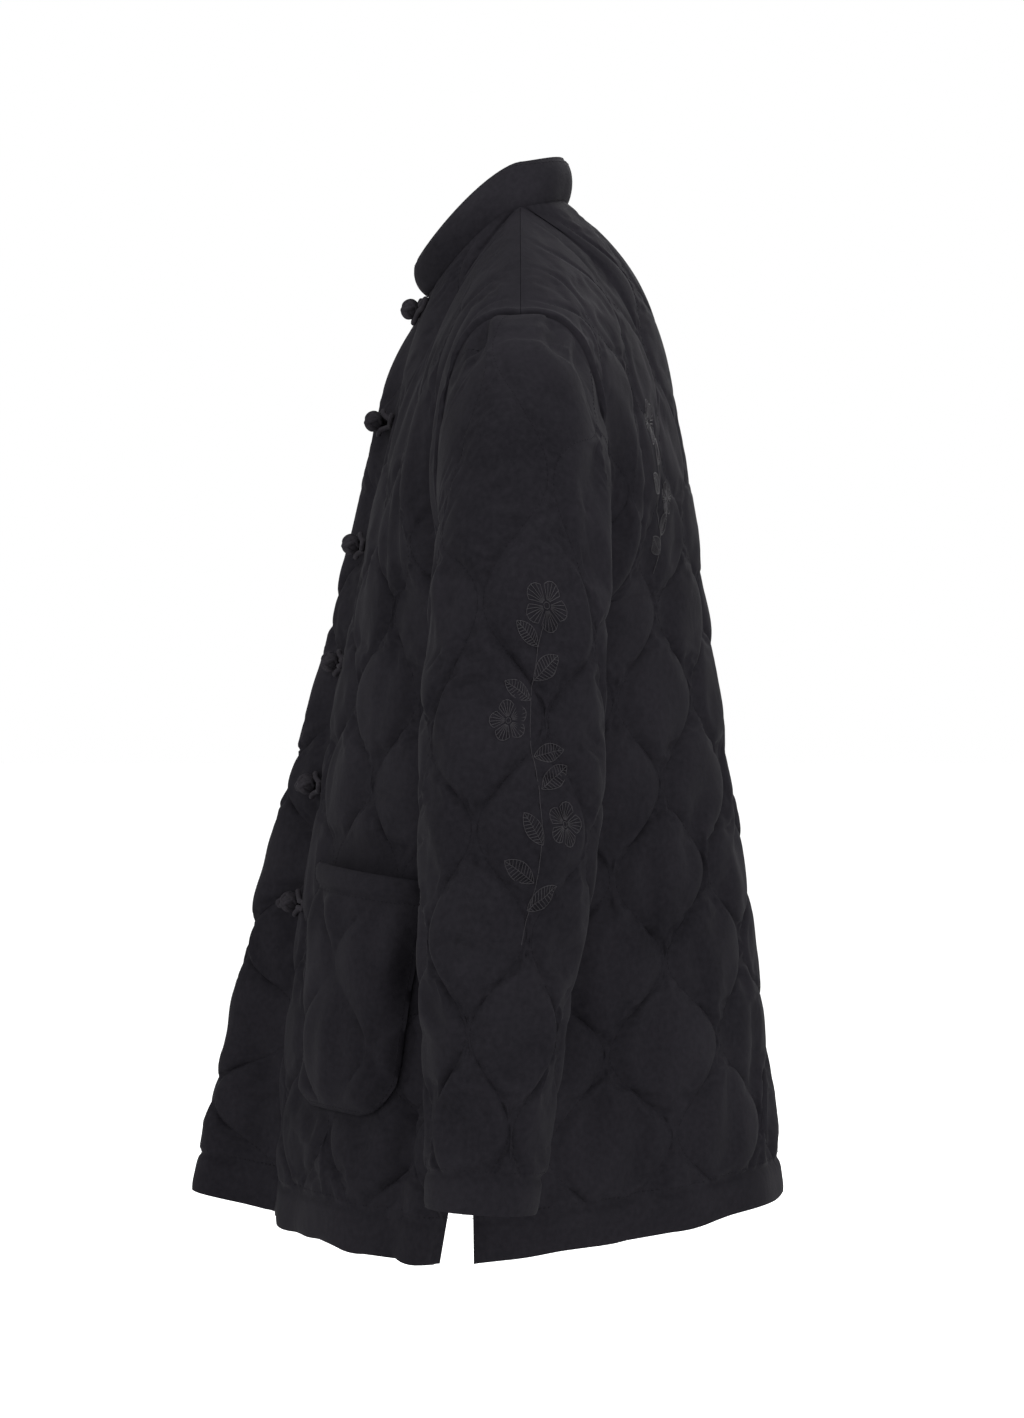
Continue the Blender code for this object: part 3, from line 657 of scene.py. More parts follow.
paddingSim = {
    "frames": 16,
    "quality": 6,
    "mass": 0.3,
    "stiffness": 15.0,
    "bending": 0.15,
    "damping": 5.0,
    "spare": 0.020,
    "pressure": 1.4,
    "slide": 0.005,  # furthest a point may move along the cloth
    "most": 0.0120,  # furthest it may stand off the inside
    "sharpness": 0.72,
}


def clothSheet(name, panel):
    grid, settings = panel["outside"], paddingSim
    corners = quads(indexGrid(grid, panel["closed"]))
    one, two, four = (grid.reshape(-1, 3)[corners[:, k]] for k in (0, 1, 3))
    facing = (np.cross(two - one, four - one) * panel["out"].reshape(-1, 3)[corners[:, 0]]).sum()
    if facing < 0:
        corners = corners[:, ::-1]
    mesh = bpy.data.meshes.new(name)
    mesh.from_pydata(grid.reshape(-1, 3).tolist(), [], corners.tolist())
    sheet = bpy.data.objects.new(name, mesh)
    bpy.context.scene.collection.objects.link(sheet)
    sewn = sheet.vertex_groups.new(name="sewn")
    sewn.add(np.flatnonzero(panel["fixed"]).tolist(), 1.0, "REPLACE")
    puffy, tight = (sheet.vertex_groups.new(name=name) for name in ("puffy", "tight"))
    level = np.round(panel["loose"].ravel() * 10).astype(int)
    for step in range(11):
        chosen = np.flatnonzero(level == step).tolist()
        puffy.add(chosen, step / 10, "REPLACE")
        tight.add(chosen, 1 - step / 10, "REPLACE")
    cloth = sheet.modifiers.new("padding", "CLOTH")
    made = cloth.settings
    made.quality = settings["quality"]
    made.mass = settings["mass"]
    for name in ("tension", "compression", "shear"):
        setattr(made, name + "_stiffness", settings["stiffness"])
        setattr(made, name + "_damping", settings["damping"])
    made.bending_stiffness = settings["bending"]
    made.vertex_group_mass = "sewn"
    made.vertex_group_shrink = "tight"
    made.shrink_min = -settings["spare"]
    made.shrink_max = 0.0
    made.use_pressure = True
    made.uniform_pressure_force = settings["pressure"]
    made.vertex_group_pressure = "puffy"
    made.effector_weights.gravity = 0
    cloth.collision_settings.use_collision = False
    cloth.point_cache.frame_start = 1
    cloth.point_cache.frame_end = settings["frames"]
    return sheet


def blowUp(panels):
    scene = bpy.context.scene
    sheets = {name: clothSheet(name + "Sheet", panel) for name, panel in panels.items()}
    for step in range(1, paddingSim["frames"] + 1):
        scene.frame_set(step)
    graph = bpy.context.evaluated_depsgraph_get()
    for name, sheet in sheets.items():
        panel = panels[name]
        points = np.empty(panel["outside"].size)
        sheet.evaluated_get(graph).data.vertices.foreach_get("co", points)
        moved = points.reshape(panel["outside"].shape) - panel["inside"]
        height = (moved * panel["out"]).sum(axis=-1)
        slide = moved - height[..., None] * panel["out"]
        far = np.linalg.norm(slide, axis=-1)
        slide *= np.minimum(1, paddingSim["slide"] / np.maximum(far, 1e-9))[..., None]
        # steeper beside the sewn lines and flatter on top
        room = panel["most"] - quiltShape["lineWall"]
        risen = np.clip((height - quiltShape["lineWall"]) / room, 0, 1) ** paddingSim["sharpness"]
        height = quiltShape["lineWall"] + room * risen
        free = ~panel["fixed"]
        panel["outside"][free] = (panel["inside"] + height[..., None] * panel["out"] + slide)[free]
    scene.frame_set(1)
    for sheet in sheets.values():
        mesh = sheet.data
        bpy.data.objects.remove(sheet)
        bpy.data.meshes.remove(mesh)


# Materials

clothLook = {
    "dark": (0.0060, 0.0056, 0.0071),
    "light": (0.0115, 0.0107, 0.0131),
    "patch": 14.0,
    "patchShare": 0.55,
    "weave": 1500.0,
    "weaveBump": 0.00012,
    "slub": 260.0,
    "roughLow": 0.60,
    "roughHigh": 0.84,
    "sheen": 0.004,
    "sheenRough": 0.45,
    "sheenTint": (0.80, 0.78, 0.80),
    "gloss": 0.012,
    "crumple": 34.0,
    "crumpleBump": 0.0030,
    "crumpleTwist": 0.7,
}
noiseDetail = {"patch": 5, "slub": 3, "weave": 2, "crumple": 4}
bumpStrength = {"crumple": 0.45, "weave": 0.8}
shadePlaces = {"dark": 0.32, "light": 0.70}


def clothMaterial(name, look):
    material = bpy.data.materials.new(name)
    material.use_nodes = True
    add, link = material.node_tree.nodes.new, material.node_tree.links.new
    shader = material.node_tree.nodes["Principled BSDF"]
    shader.inputs["Sheen Weight"].default_value = look["sheen"]
    shader.inputs["Sheen Roughness"].default_value = look["sheenRough"]
    shader.inputs["Sheen Tint"].default_value = (*look["sheenTint"], 1)
    shader.inputs["Specular IOR Level"].default_value = look["gloss"]
    where, noises = add("ShaderNodeTexCoord"), {}
    for texture, detail in noiseDetail.items():
        noise = noises[texture] = add("ShaderNodeTexNoise")
        noise.inputs["Scale"].default_value = look[texture]
        noise.inputs["Detail"].default_value = detail
        link(where.outputs["Object"], noise.inputs["Vector"])
    noises["crumple"].inputs["Distortion"].default_value = look["crumpleTwist"]
    mixed, ramp, rough = (add("ShaderNode" + kind) for kind in ("Mix", "ValToRGB", "MapRange"))
    mixed.inputs[0].default_value = look["patchShare"]
    link(noises["slub"].outputs["Fac"], mixed.inputs[2])
    link(noises["patch"].outputs["Fac"], mixed.inputs[3])
    for stop, (shade, place) in zip(ramp.color_ramp.elements, shadePlaces.items()):
        stop.position, stop.color = place, (*look[shade], 1)
    link(mixed.outputs[0], ramp.inputs["Fac"])
    link(ramp.outputs["Color"], shader.inputs["Base Color"])
    rough.inputs["To Min"].default_value = look["roughLow"]
    rough.inputs["To Max"].default_value = look["roughHigh"]
    link(noises["slub"].outputs["Fac"], rough.inputs["Value"])
    link(rough.outputs["Result"], shader.inputs["Roughness"])
    normal = None
    for texture, strength in bumpStrength.items():
        bump = add("ShaderNodeBump")
        bump.inputs["Strength"].default_value = strength
        bump.inputs["Distance"].default_value = look[texture + "Bump"]
        link(noises[texture].outputs["Fac"], bump.inputs["Height"])
        if normal:
            link(normal, bump.inputs["Normal"])
        normal = bump.outputs["Normal"]
    link(normal, shader.inputs["Normal"])
    return material


cordShades = {"dark": (0.0100, 0.0093, 0.0110), "light": (0.0205, 0.0188, 0.0220)}
cordLook = {**clothLook, **cordShades, "slub": 500.0}
fineLook = {"slub": 900.0, "crumpleBump": 0.0001}
silkLook = {**cordLook, **fineLook, "roughLow": 0.38, "roughHigh": 0.55, "gloss": 0.12}
quiltedCloth = clothMaterial("quiltedBlackCloth", clothLook)
plainCloth = clothMaterial("plainBlackCloth", {**clothLook, "patch": 20.0})
cordCloth = clothMaterial("blackCord", {**cordLook, "crumple": 400.0, "crumpleBump": 0.0002})
threadCloth = clothMaterial("blackThread", {**clothLook, **fineLook})
silkThread = clothMaterial("blackSilkThread", silkLook)
print("materials made")


def dress(piece, node):
    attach(piece, "root")
    if node:
        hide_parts(node)
    return piece


# Collar

collarShape = {
    "halfWidth": 0.062,
    "sideZ": 0.039,
    "front": (0.077, -0.067),
    "back": (0.032, 0.010),
    "lift": 0.0006,
    "lap": 0.006,  # the inner side covers the neck seam
    "wall": 0.0042,
    "bow": 0.003,
    "endGap": 0.0012,
    "endFade": 0.004,
    "cornerRadius": 0.014,
    "roll": (0.03, 1.02, 0.25),  # start, span, power
    "thinnest": (0.25, 0.35),  # share of the wall along the edges, at the ends
    "lapIn": 0.001,
    "ripple": 0.0005,
    "rippleWaves": (9, 0.03, 0.09),
    "rippleHeight": 0.04,
    "columns": 64,
    "rows": 24,
}


def makeCollar(shape):
    angles = np.linspace(0, math.pi / 2, shape["columns"] // 2 + 1)
    rise = np.linspace(0, 1, shape["rows"] + 1)[:, None, None]
    insides, outs = [], []
    for face, turns in (("front", angles), ("back", angles[-2::-1])):
        low, high = neckQuarter(neckShape, face, turns), neckQuarter(shape, face, turns)
        away = neckOutward(face, turns)
        lifted = low + unit(high - low) * shape["lift"]
        insides.append(lifted + (high - low) * rise + away * shape["bow"] * np.sin(math.pi * rise))
        outs.append(np.broadcast_to(away, insides[-1].shape))
    inside, out = np.concatenate(insides, axis=1), np.concatenate(outs, axis=1)
    length = runLength(inside[0])
    # the free corner at the front is rounded off
    near = np.clip(1 - length / shape["cornerRadius"], 0, 1)[None, :]
    cut = shape["cornerRadius"] * (1 - np.sqrt(np.clip(1 - near**2, 0, 1)))
    tall = np.linalg.norm(inside[-1] - inside[0], axis=-1)[None, :]
    inside = inside[0] + (inside - inside[0]) * (1 - cut / tall)[..., None]
    (start, span, power), (thinEdge, thinEnd) = shape["roll"], shape["thinnest"]
    edge = np.sin(math.pi * np.clip(rise[..., 0] * span + start, 0, 1)) ** power
    ends = np.clip(length / shape["endFade"], thinEnd, 1)[None, :]
    wall = shape["wall"] * np.clip(edge, thinEdge, 1) * ends
    soft = ripple(71, shape["rippleWaves"], length[None, :], rise[..., 0] * shape["rippleHeight"])
    wall += shape["ripple"] * soft * edge * ends
    outside = inside + out * wall[..., None]
    inside[0] -= unit(inside[1] - inside[0]) * shape["lap"] + out[0] * shape["lapIn"]
    grids = []
    for grid in (outside, inside):
        grid[:, 0, 0] += shape["endGap"]
        grids.append(np.concatenate((grid, mirrored(grid[:, -2::-1])), axis=1))
    return grids, 2 * length[-1], tall.mean()


# Panels, sleeves and their padding

cut = {
    "back": bothHalves(makePanel("back", 11)),
    "leftFront": makePanel("front", 23),
    "rightFront": makePanel("front", 37, bulgeSide=True),
    "leftSleeve": makeSleeve(sleeveShape, 51),
}
blowUp(cut)
print("padding blown up")

# creases pressed into the padded cloth, by foldColumns
pressedPower = 0.7
pressedKinds = {"back": "back", "leftFront": "front", "rightFront": "front", "leftSleeve": "sleeve"}
pressedCreases = {
    "sleeve": (
        (0.06, 0.015, 0.360, 0.080, -0.0046, 0.02),
        (-0.30, 0.004, 0.090, 0.085, -0.0060, -0.34),
        (0.27, 0.004, 0.100, 0.085, -0.0060, 0.14),
        (0.62, 0.006, 0.130, 0.085, -0.0050, 0.34),
        (-0.95, 0.180, 0.330, 0.070, -0.0036, 0.42),
        (-0.70, 0.330, 0.430, 0.060, -0.0030, -0.22),
        (1.20, 0.140, 0.360, 0.080, -0.0034, -0.30),
        (0.72, 0.560, 0.700, 0.070, -0.0030, 0.30),
        (-0.35, 0.620, 0.760, 0.070, -0.0028, -0.34),
        (2.60, 0.200, 0.480, 0.090, -0.0034, 0.30),
        (-2.40, 0.300, 0.560, 0.090, -0.0034, -0.30),
    ),
    "front": (
        (0.30, 0.120, 0.520, 0.016, -0.0030, -0.04),
        (0.44, 0.080, 0.420, 0.016, -0.0034, 0.03),
        (0.57, 0.060, 0.500, 0.016, -0.0032, -0.03),
        (0.70, 0.080, 0.380, 0.018, -0.0036, 0.04),
        (0.20, 0.560, 0.900, 0.016, -0.0028, 0.03),
        (0.12, 0.300, 0.640, 0.014, -0.0026, -0.02),
    ),
    "back": (
        (0.66, 0.120, 0.330, 0.020, -0.0034, 0.08),
        (-0.62, 0.150, 0.360, 0.020, -0.0034, -0.06),
        (0.84, 0.340, 0.470, 0.022, -0.0036, -0.14),
        (-0.80, 0.360, 0.500, 0.022, -0.0036, 0.12),
        (0.52, 0.640, 0.760, 0.018, -0.0028, 0.07),
        (-0.30, 0.480, 0.600, 0.018, -0.0028, 0.06),
        (0.22, 0.700, 0.820, 0.018, -0.0028, -0.05),
    ),
}
for piece, kind in pressedKinds.items():
    panel, rows = cut[piece], pressedCreases[kind]
    depth = foldLift(rows, panel["shares"], panel["where"], pressedPower, turning=panel["closed"])
    for name in ("inside", "outside"):
        panel[name] += depth[..., None] * panel["out"]
panels = {
    "back": cut["back"],
    "front_left": cut["leftFront"],
    "front_right": mirroredPanel(cut["rightFront"]),
    "sleeve_left": cut["leftSleeve"],
    "sleeve_right": mirroredPanel(cut["leftSleeve"]),
}
quiltNames = {
    "back": "backQuilt",
    "front_left": "leftFrontQuilt",
    "front_right": "rightFrontQuilt",
    "sleeve_left": "leftSleeveQuilt",
    "sleeve_right": "rightSleeveQuilt",
}
for node, panel in panels.items():
    fine = upsample(panel["outside"], quiltShape["cellColumns"], panel["closed"])
    piece = clothWall(quiltNames[node], fine, panel["inside"][::4, ::4], quiltedCloth, panel["closed"])
    dress(piece, node)
print("body and sleeves made")

(collarOutside, collarInside), collarLength, collarHeight = makeCollar(collarShape)
collarPiece = clothWall("standCollar", collarOutside, collarInside[::2, ::4], plainCloth)
dress(collarPiece, "collar")
print("collar made")


# Pockets

def surfaceAt(panel, name, shares, places):
    # points of one of a panel's grids at these shares of its length and places across it
    where, period = panel["where"], 2 * math.pi if panel["closed"] else None
    rows = np.clip(np.ravel(shares), 0, 0.9999) * (len(where) - 1)
    found = np.zeros((rows.size, 3))
    for i, (row, place) in enumerate(zip(rows, np.ravel(places))):
        low, t = int(row), row - int(row)
        for r, weight in ((low, 1 - t), (low + 1, t)):
            line = panel[name][r]
            for axis in range(3):
                found[i, axis] += weight * np.interp(place, where[r], line[:, axis], period=period)
    return found.reshape(np.shape(places) + (3,))


def makePocket(panel, shape, seed):
    (left, right), (top, bottom) = shape["across"], shape["shares"]
    wide, tall = (right - left) * shape["panelWidth"], (bottom - top) * shape["panelLength"]
    down = np.linspace(0, 1, shape["rows"] + 1)[:, None]
    over = np.linspace(-1, 1, shape["columns"] + 1)[None, :]
    near = np.clip(1 - (1 - down) * tall / shape["cornerRadius"], 0, 1)
    narrow = 1 - (1 - np.sqrt(1 - near**2)) * shape["cornerRadius"] / (wide / 2)
    across = (left + right) / 2 + (right - left) / 2 * over * narrow
    shares = top + (bottom - top) * down + 0 * across
    base = surfaceAt(panel, "inside", shares, across)
    out = unit(surfaceAt(panel, "out", shares, across))
    hollow = shape["room"] * (1 - over**2) * np.sqrt(1 - down**2)
    gapeWide, gapeTall = shape["cornerSpan"]
    gape = shape["cornerLift"] * np.exp(-(((over + 1) / gapeWide) ** 2) - (down / gapeTall) ** 2)
    inside = base + out * (shape["ground"] + shape["clear"] + hollow + gape)[..., None]
    lines = sewnLines(shares[:, 0], smoothCurve(body["share"], body["frontZ"], shares[:, 0]))
    cell = np.clip((across[..., None] >= lines[:, None, :]).sum(axis=-1) - 1, 0, lines.shape[1] - 2)
    start, end = (np.take_along_axis(lines, cell + k, 1) for k in (0, 1))
    width, s = (end - start) * shape["panelWidth"], across * shape["panelWidth"]
    puff = puffOver(width, (across - start) / (end - start), seed, s, base[..., 2])
    puff *= shape["puff"] / quiltShape["puff"]
    border = np.minimum((1 - np.abs(over)) * narrow * wide / 2, (1 - down) * tall)
    puff *= ease(border / shape["edgeFade"]) * ease((down - shape["band"]) * tall / shape["bandFade"])
    inBand = np.clip(down / shape["band"], 0, 1) + 0 * across
    band = (shape["bandWall"] - shape["wall"]) * rolled(inBand, shape["bandRoll"])
    wall = shape["wall"] + np.where(inBand < 1, band, puff)
    return inside + out * wall[..., None], inside


pocketOutsides = []
for name, hand, seed in (("leftPocketPatch", "left", 61), ("rightPocketPatch", "right", 67)):
    outside, inside = makePocket(panels["front_" + hand], pocketShape, seed)
    pocketOutsides.append(outside)
    piece = clothWall(name, outside, inside[::2, ::2], quiltedCloth)
    dress(piece, "pocket_" + hand)
print("pockets made")


# Cords, stitches and threads that follow paths

stitchShape = {"Spacing": 0.0037, "Length": 0.0027, "Width": 0.00065}


def newTree(name, sizes):
    tree = bpy.data.node_groups.new(name, "GeometryNodeTree")
    add, link, socket = tree.nodes.new, tree.links.new, tree.interface.new_socket
    socket("Geometry", in_out="INPUT", socket_type="NodeSocketGeometry")
    for label, value in sizes.items():
        socket(label, in_out="INPUT", socket_type="NodeSocketFloat").default_value = value
    socket("Material", in_out="INPUT", socket_type="NodeSocketMaterial")
    socket("Geometry", in_out="OUTPUT", socket_type="NodeSocketGeometry")
    start, end = add("NodeGroupInput"), add("NodeGroupOutput")
    kinds = ("MeshToCurve", "RealizeInstances", "SetMaterial")
    curve, real, dressed = (add("GeometryNode" + kind) for kind in kinds)
    link(start.outputs["Geometry"], curve.inputs[0])
    link(real.outputs[0], dressed.inputs["Geometry"])
    link(start.outputs["Material"], dressed.inputs["Material"])
    link(dressed.outputs[0], end.inputs[0])
    return tree, start.outputs, curve.outputs[0], real.inputs[0]


def makeCordTree():
    tree, size, curve, result = newTree("roundCord", {"Radius": 0.002, "Sides": 10})
    add, link = tree.nodes.new, tree.links.new
    profile, swept = add("GeometryNodeCurvePrimitiveCircle"), add("GeometryNodeCurveToMesh")
    link(size["Sides"], profile.inputs["Resolution"])
    link(size["Radius"], profile.inputs["Radius"])
    swept.inputs["Fill Caps"].default_value = True
    link(curve, swept.inputs["Curve"])
    link(profile.outputs["Curve"], swept.inputs["Profile Curve"])
    link(swept.outputs[0], result)
    return tree


def makeStitchTree():
    tree, size, curve, result = newTree("runningStitch", stitchShape)
    add, link = tree.nodes.new, tree.links.new
    spaced, bead = add("GeometryNodeResampleCurve"), add("GeometryNodeMeshIcoSphere")
    spaced.mode = "LENGTH"
    link(curve, spaced.inputs["Curve"])
    link(size["Spacing"], spaced.inputs["Length"])
    bead.inputs["Radius"].default_value = 0.5
    bead.inputs["Subdivisions"].default_value = 1
    scale = add("ShaderNodeCombineXYZ")
    for axis, label in (("X", "Length"), ("Y", "Width"), ("Z", "Width")):
        link(size[label], scale.inputs[axis])
    tangent, turned = add("GeometryNodeInputTangent"), add("FunctionNodeAlignRotationToVector")
    turned.axis = "X"
    link(tangent.outputs[0], turned.inputs["Vector"])
    placed = add("GeometryNodeInstanceOnPoints")
    link(spaced.outputs[0], placed.inputs["Points"])
    link(bead.outputs["Mesh"], placed.inputs["Instance"])
    link(turned.outputs[0], placed.inputs["Rotation"])
    link(scale.outputs[0], placed.inputs["Scale"])
    link(placed.outputs[0], result)
    return tree


def alongPaths(name, tree, sizes, paths, material):
    # paths holds pairs of points and whether they close
    points, edges = [], []
    for path, closes in paths:
        first = len(points)
        points += np.asarray(path).tolist()
        edges += [(i, i + 1) for i in range(first, len(points) - 1)]
        if closes:
            edges.append((len(points) - 1, first))
    mesh = bpy.data.meshes.new(name + "Path")
    mesh.from_pydata(points, edges, [])
    holder = bpy.data.objects.new(name + "Path", mesh)
    bpy.context.scene.collection.objects.link(holder)
    modifier = holder.modifiers.new("paths", "NODES")
    modifier.node_group = tree
    values = {**sizes, "Material": material}
    for item in tree.interface.items_tree:
        if item.in_out == "INPUT" and item.name in values:
            modifier[item.identifier] = values[item.name]
    graph = bpy.context.evaluated_depsgraph_get()
    made = bpy.data.meshes.new_from_object(holder.evaluated_get(graph), depsgraph=graph)
    made.name = name
    made.shade_smooth()
    bpy.data.objects.remove(holder)
    bpy.data.meshes.remove(mesh)
    piece = bpy.data.objects.new(name, made)
    bpy.context.scene.collection.objects.link(piece)
    return piece


def smoothPath(points, count):
    points = np.array(points)
    length = runLength(points)
    at = np.linspace(0, length[-1], count)
    return np.stack([smoothCurve(length, points[:, k], at) for k in range(3)], -1)


cordTree, stitchTree = makeCordTree(), makeStitchTree()


# Knotted fastenings

fasteningPlaces = (  # height, how far the knot stands off
    (-0.066, 0.000),
    (-0.150, 0.007),
    (-0.242, 0.006),
    (-0.330, 0.005),
    (-0.422, 0.002),
    (-0.510, 0.001),
)
fasteningShape = {
    "ball": 0.0080,
    "clear": 0.0009,
    "cord": 0.0020,
    "cordLift": 0.0003,
    "pitch": 0.0046,
    "loopRun": (0.031, 0.0145),  # from the front edge
    "tailRun": (0.012, 0.028),
    "tailSink": 0.004,
    "tailPinch": 0.6,
    "tailSteps": 70,
    "weaveRadius": 0.0059,
    "weaveDepth": 0.0003,
    "weaveSwing": 1.12,
    "weaveLeads": 3,
    "weaveBights": 4,
    "weaveSteps": 168,
    "core": 0.0071,
    "eyeOpen": 52,  # degrees to each side of the loop's neck
    "eyeRadius": (0.0084, 0.0009),  # at the neck, more at the far end
    "eyeLift": (0.0016, 0.0020),
    "loopSteps": 110,
}


def frontPoint(panel, z, run):
    # a point on a front at this height and this far from its edge, and the way out there
    edge = panel["outside"][:, 0, 2]
    row = np.interp(-z, -edge, np.arange(len(edge)))
    low = min(int(row), len(edge) - 2)
    ends = []
    for r in (low, low + 1):
        length = runLength(panel["outside"][r])
        both = np.concatenate((panel["outside"][r], panel["out"][r]), axis=1)
        ends.append(np.array([np.interp(run, length, both[:, k]) for k in range(6)]))
    found = ends[0] + (ends[1] - ends[0]) * (row - low)
    return found[:3], unit(found[3:])


def cordOn(panel, z, runs, lift):
    points = []
    for run, rise in zip(runs, np.broadcast_to(lift, np.shape(runs))):
        point, out = frontPoint(panel, z, run)
        points.append(point + out * rise)
    return points


def knotSeat(z, standOff, shape, panel):
    # the point on the edge, the ways out, sideways and up there, and how far the knot is raised
    edge, away = frontPoint(panel, z, 0.0)
    beside, _ = frontPoint(panel, z, shape["ball"])
    sideways = unit(np.cross(away, (0.0, 0.0, 1.0)))
    raised = shape["clear"] + max(standOff, np.dot(beside - edge, away))
    return edge, away, sideways, np.cross(sideways, away), raised


def makeKnot(number, z, seat, shape, panel):
    edge, away, sideways, upright, raised = seat
    centre = edge + away * (shape["ball"] + raised)
    turn = np.linspace(0, 2 * math.pi, shape["weaveSteps"], endpoint=False)
    swing = shape["weaveSwing"] * np.sin(shape["weaveBights"] * turn)
    reach = shape["weaveRadius"] + shape["weaveDepth"] * np.sin(2 * shape["weaveBights"] * turn + 0.4)
    lead = onCircle(shape["weaveLeads"] * turn) @ np.stack((sideways, upright))
    ball = centre + (lead * np.cos(swing)[:, None] + away * np.sin(swing)[:, None]) * reach[:, None]
    half, lift = shape["pitch"] / 2, shape["cord"] + shape["cordLift"]
    runs = np.linspace(*shape["tailRun"], 6)
    root, pinch = centre - away * shape["tailSink"], upright * half * shape["tailPinch"]
    tail = [root + pinch] + cordOn(panel, z + half, runs, lift)
    tail += cordOn(panel, z, [runs[-1] + half], lift)
    tail += cordOn(panel, z - half, runs[::-1], lift) + [root - pinch]
    paths = [(ball, True), (smoothPath(tail, shape["tailSteps"]), False)]
    piece = alongPaths(f"buttonKnot{number}", cordTree, {"Radius": shape["cord"]}, paths, cordCloth)
    made = bmesh.new()
    made.from_mesh(piece.data)
    core = bmesh.ops.create_icosphere(made, subdivisions=3, radius=shape["core"])
    bmesh.ops.translate(made, verts=core["verts"], vec=Vector(centre))
    made.to_mesh(piece.data)
    made.free()
    piece.data.shade_smooth()
    return piece


def makeLoop(number, z, seat, shape, panel):
    edge, away, sideways, upright, raised = seat
    half, lift = shape["pitch"] / 2, shape["cord"] + shape["cordLift"]
    runs = np.linspace(*shape["loopRun"], 5)
    angles = np.radians(np.linspace(shape["eyeOpen"], 360 - shape["eyeOpen"], 11))
    far = ((1 - np.cos(angles)) / 2)[:, None]
    (narrow, wider), (low, higher) = shape["eyeRadius"], shape["eyeLift"]
    toLeft = sideways * np.sign(sideways[0])
    eye = edge + onCircle(angles) @ np.stack((toLeft, upright)) * (narrow + wider * far)
    eye += away * (raised + low + higher * far)
    path = cordOn(panel, z, [runs[0] + half], lift)
    path += cordOn(panel, z + half, runs, lift) + list(eye) + cordOn(panel, z - half, runs[::-1], lift)
    paths = [(smoothPath(path + path[:1], shape["loopSteps"])[:-1], True)]
    return alongPaths(f"cordLoop{number}", cordTree, {"Radius": shape["cord"]}, paths, cordCloth)


for number, (z, standOff) in enumerate(fasteningPlaces, 1):
    seat = knotSeat(z, standOff, fasteningShape, panels["front_right"])
    knot = makeKnot(number, z, seat, fasteningShape, panels["front_right"])
    dress(knot, f"knot_{number}")
    loop = makeLoop(number, z, seat, fasteningShape, panels["front_left"])
    dress(loop, f"loop_{number}")
print("fastenings made")

# Stitching along the sewn lines, hems, collar and pockets

stitchPaths = []
for panel in panels.values():
    hemLine = (sleeveShape if panel["closed"] else panelShape)["hemLine"]
    sewn = np.flatnonzero((panel["shares"] > 0.02) & (panel["shares"] <= hemLine))
    for column in panel["lineColumns"]:
        stitchPaths.append((panel["outside"][sewn, column], False))
    stitchPaths.append((panel["outside"][sewn[-1]], panel["closed"]))
for outside in pocketOutsides:
    sides = (outside[:-1, 1], outside[-2, 1:-1], outside[-2::-1, -2])
    stitchPaths.append((np.concatenate(sides), False))
    stitchPaths.append((outside[round(pocketShape["band"] * pocketShape["rows"]) + 1], False))
stitchPaths.append((collarOutside[-4], False))
stitches = alongPaths("seamStitches", stitchTree, stitchShape, stitchPaths, threadCloth)
dress(stitches, None)
print("stitches made")


# Tonal sprigs of blossom and leaves in silk thread, on the sleeves and the back

sprigShape = {
    "Radius": 0.00032,
    "Sides": 5,
    "lift": 0.0002,
    "leafWidth": 0.24,
    "leafStrokes": 9,
    "petals": 5,
    "petalStrokes": 6,
    "petalFan": 0.52,
    "petalRound": (0.26, 2.6),
    "petalFoot": (0.2, 0.6),
    "eye": 0.13,
}
# metres on the flat cloth from the foot of the sprig: kind, side, up, heading in degrees, size
sprigColumns = ("kind", "side", "up", "heading", "size")
sleeveSprig = (
    ("blossom", 0.004, 0.196, 0, 0.0150),
    ("blossom", -0.020, 0.128, 30, 0.0120),
    ("blossom", 0.023, 0.072, 12, 0.0135),
    ("leaf", 0.001, 0.020, 38, 0.026),
    ("leaf", 0.003, 0.036, 150, 0.024),
    ("leaf", 0.006, 0.058, 128, 0.022),
    ("leaf", 0.004, 0.090, 42, 0.025),
    ("leaf", -0.002, 0.108, 20, 0.022),
    ("leaf", -0.006, 0.140, 148, 0.020),
    ("leaf", -0.004, 0.152, 46, 0.024),
    ("leaf", 0.000, 0.172, 140, 0.020),
)
sleeveStem = (
    (0.000, 0.000),
    (0.005, 0.045),
    (0.003, 0.085),
    (-0.006, 0.125),
    (-0.003, 0.160),
    (0.003, 0.186),
)
backSprig = (
    ("blossom", 0.006, 0.098, 8, 0.0125),
    ("blossom", -0.016, 0.050, 26, 0.0105),
    ("leaf", 0.001, 0.016, 44, 0.022),
    ("leaf", 0.003, 0.030, 142, 0.020),
    ("leaf", 0.005, 0.058, 38, 0.022),
    ("leaf", 0.005, 0.074, 138, 0.019),
)
backStem = ((0.000, 0.000), (0.004, 0.030), (0.006, 0.060), (0.005, 0.090))


def leafThreads(size):
    t = np.linspace(0, 1, sprigShape["leafStrokes"] + 3)
    half = size * sprigShape["leafWidth"] * np.sin(math.pi * t) ** 0.8
    threads = [np.stack((t * size, sign * half), -1) for sign in (-1, 0, 1)]
    for k in range(1, len(t) - 1):
        for sign in (-1, 1):
            ends = np.array(((t[k - 1] * size, 0), (t[k] * size, sign * half[k])))
            threads.append(np.linspace(*ends, 3))
    return threads


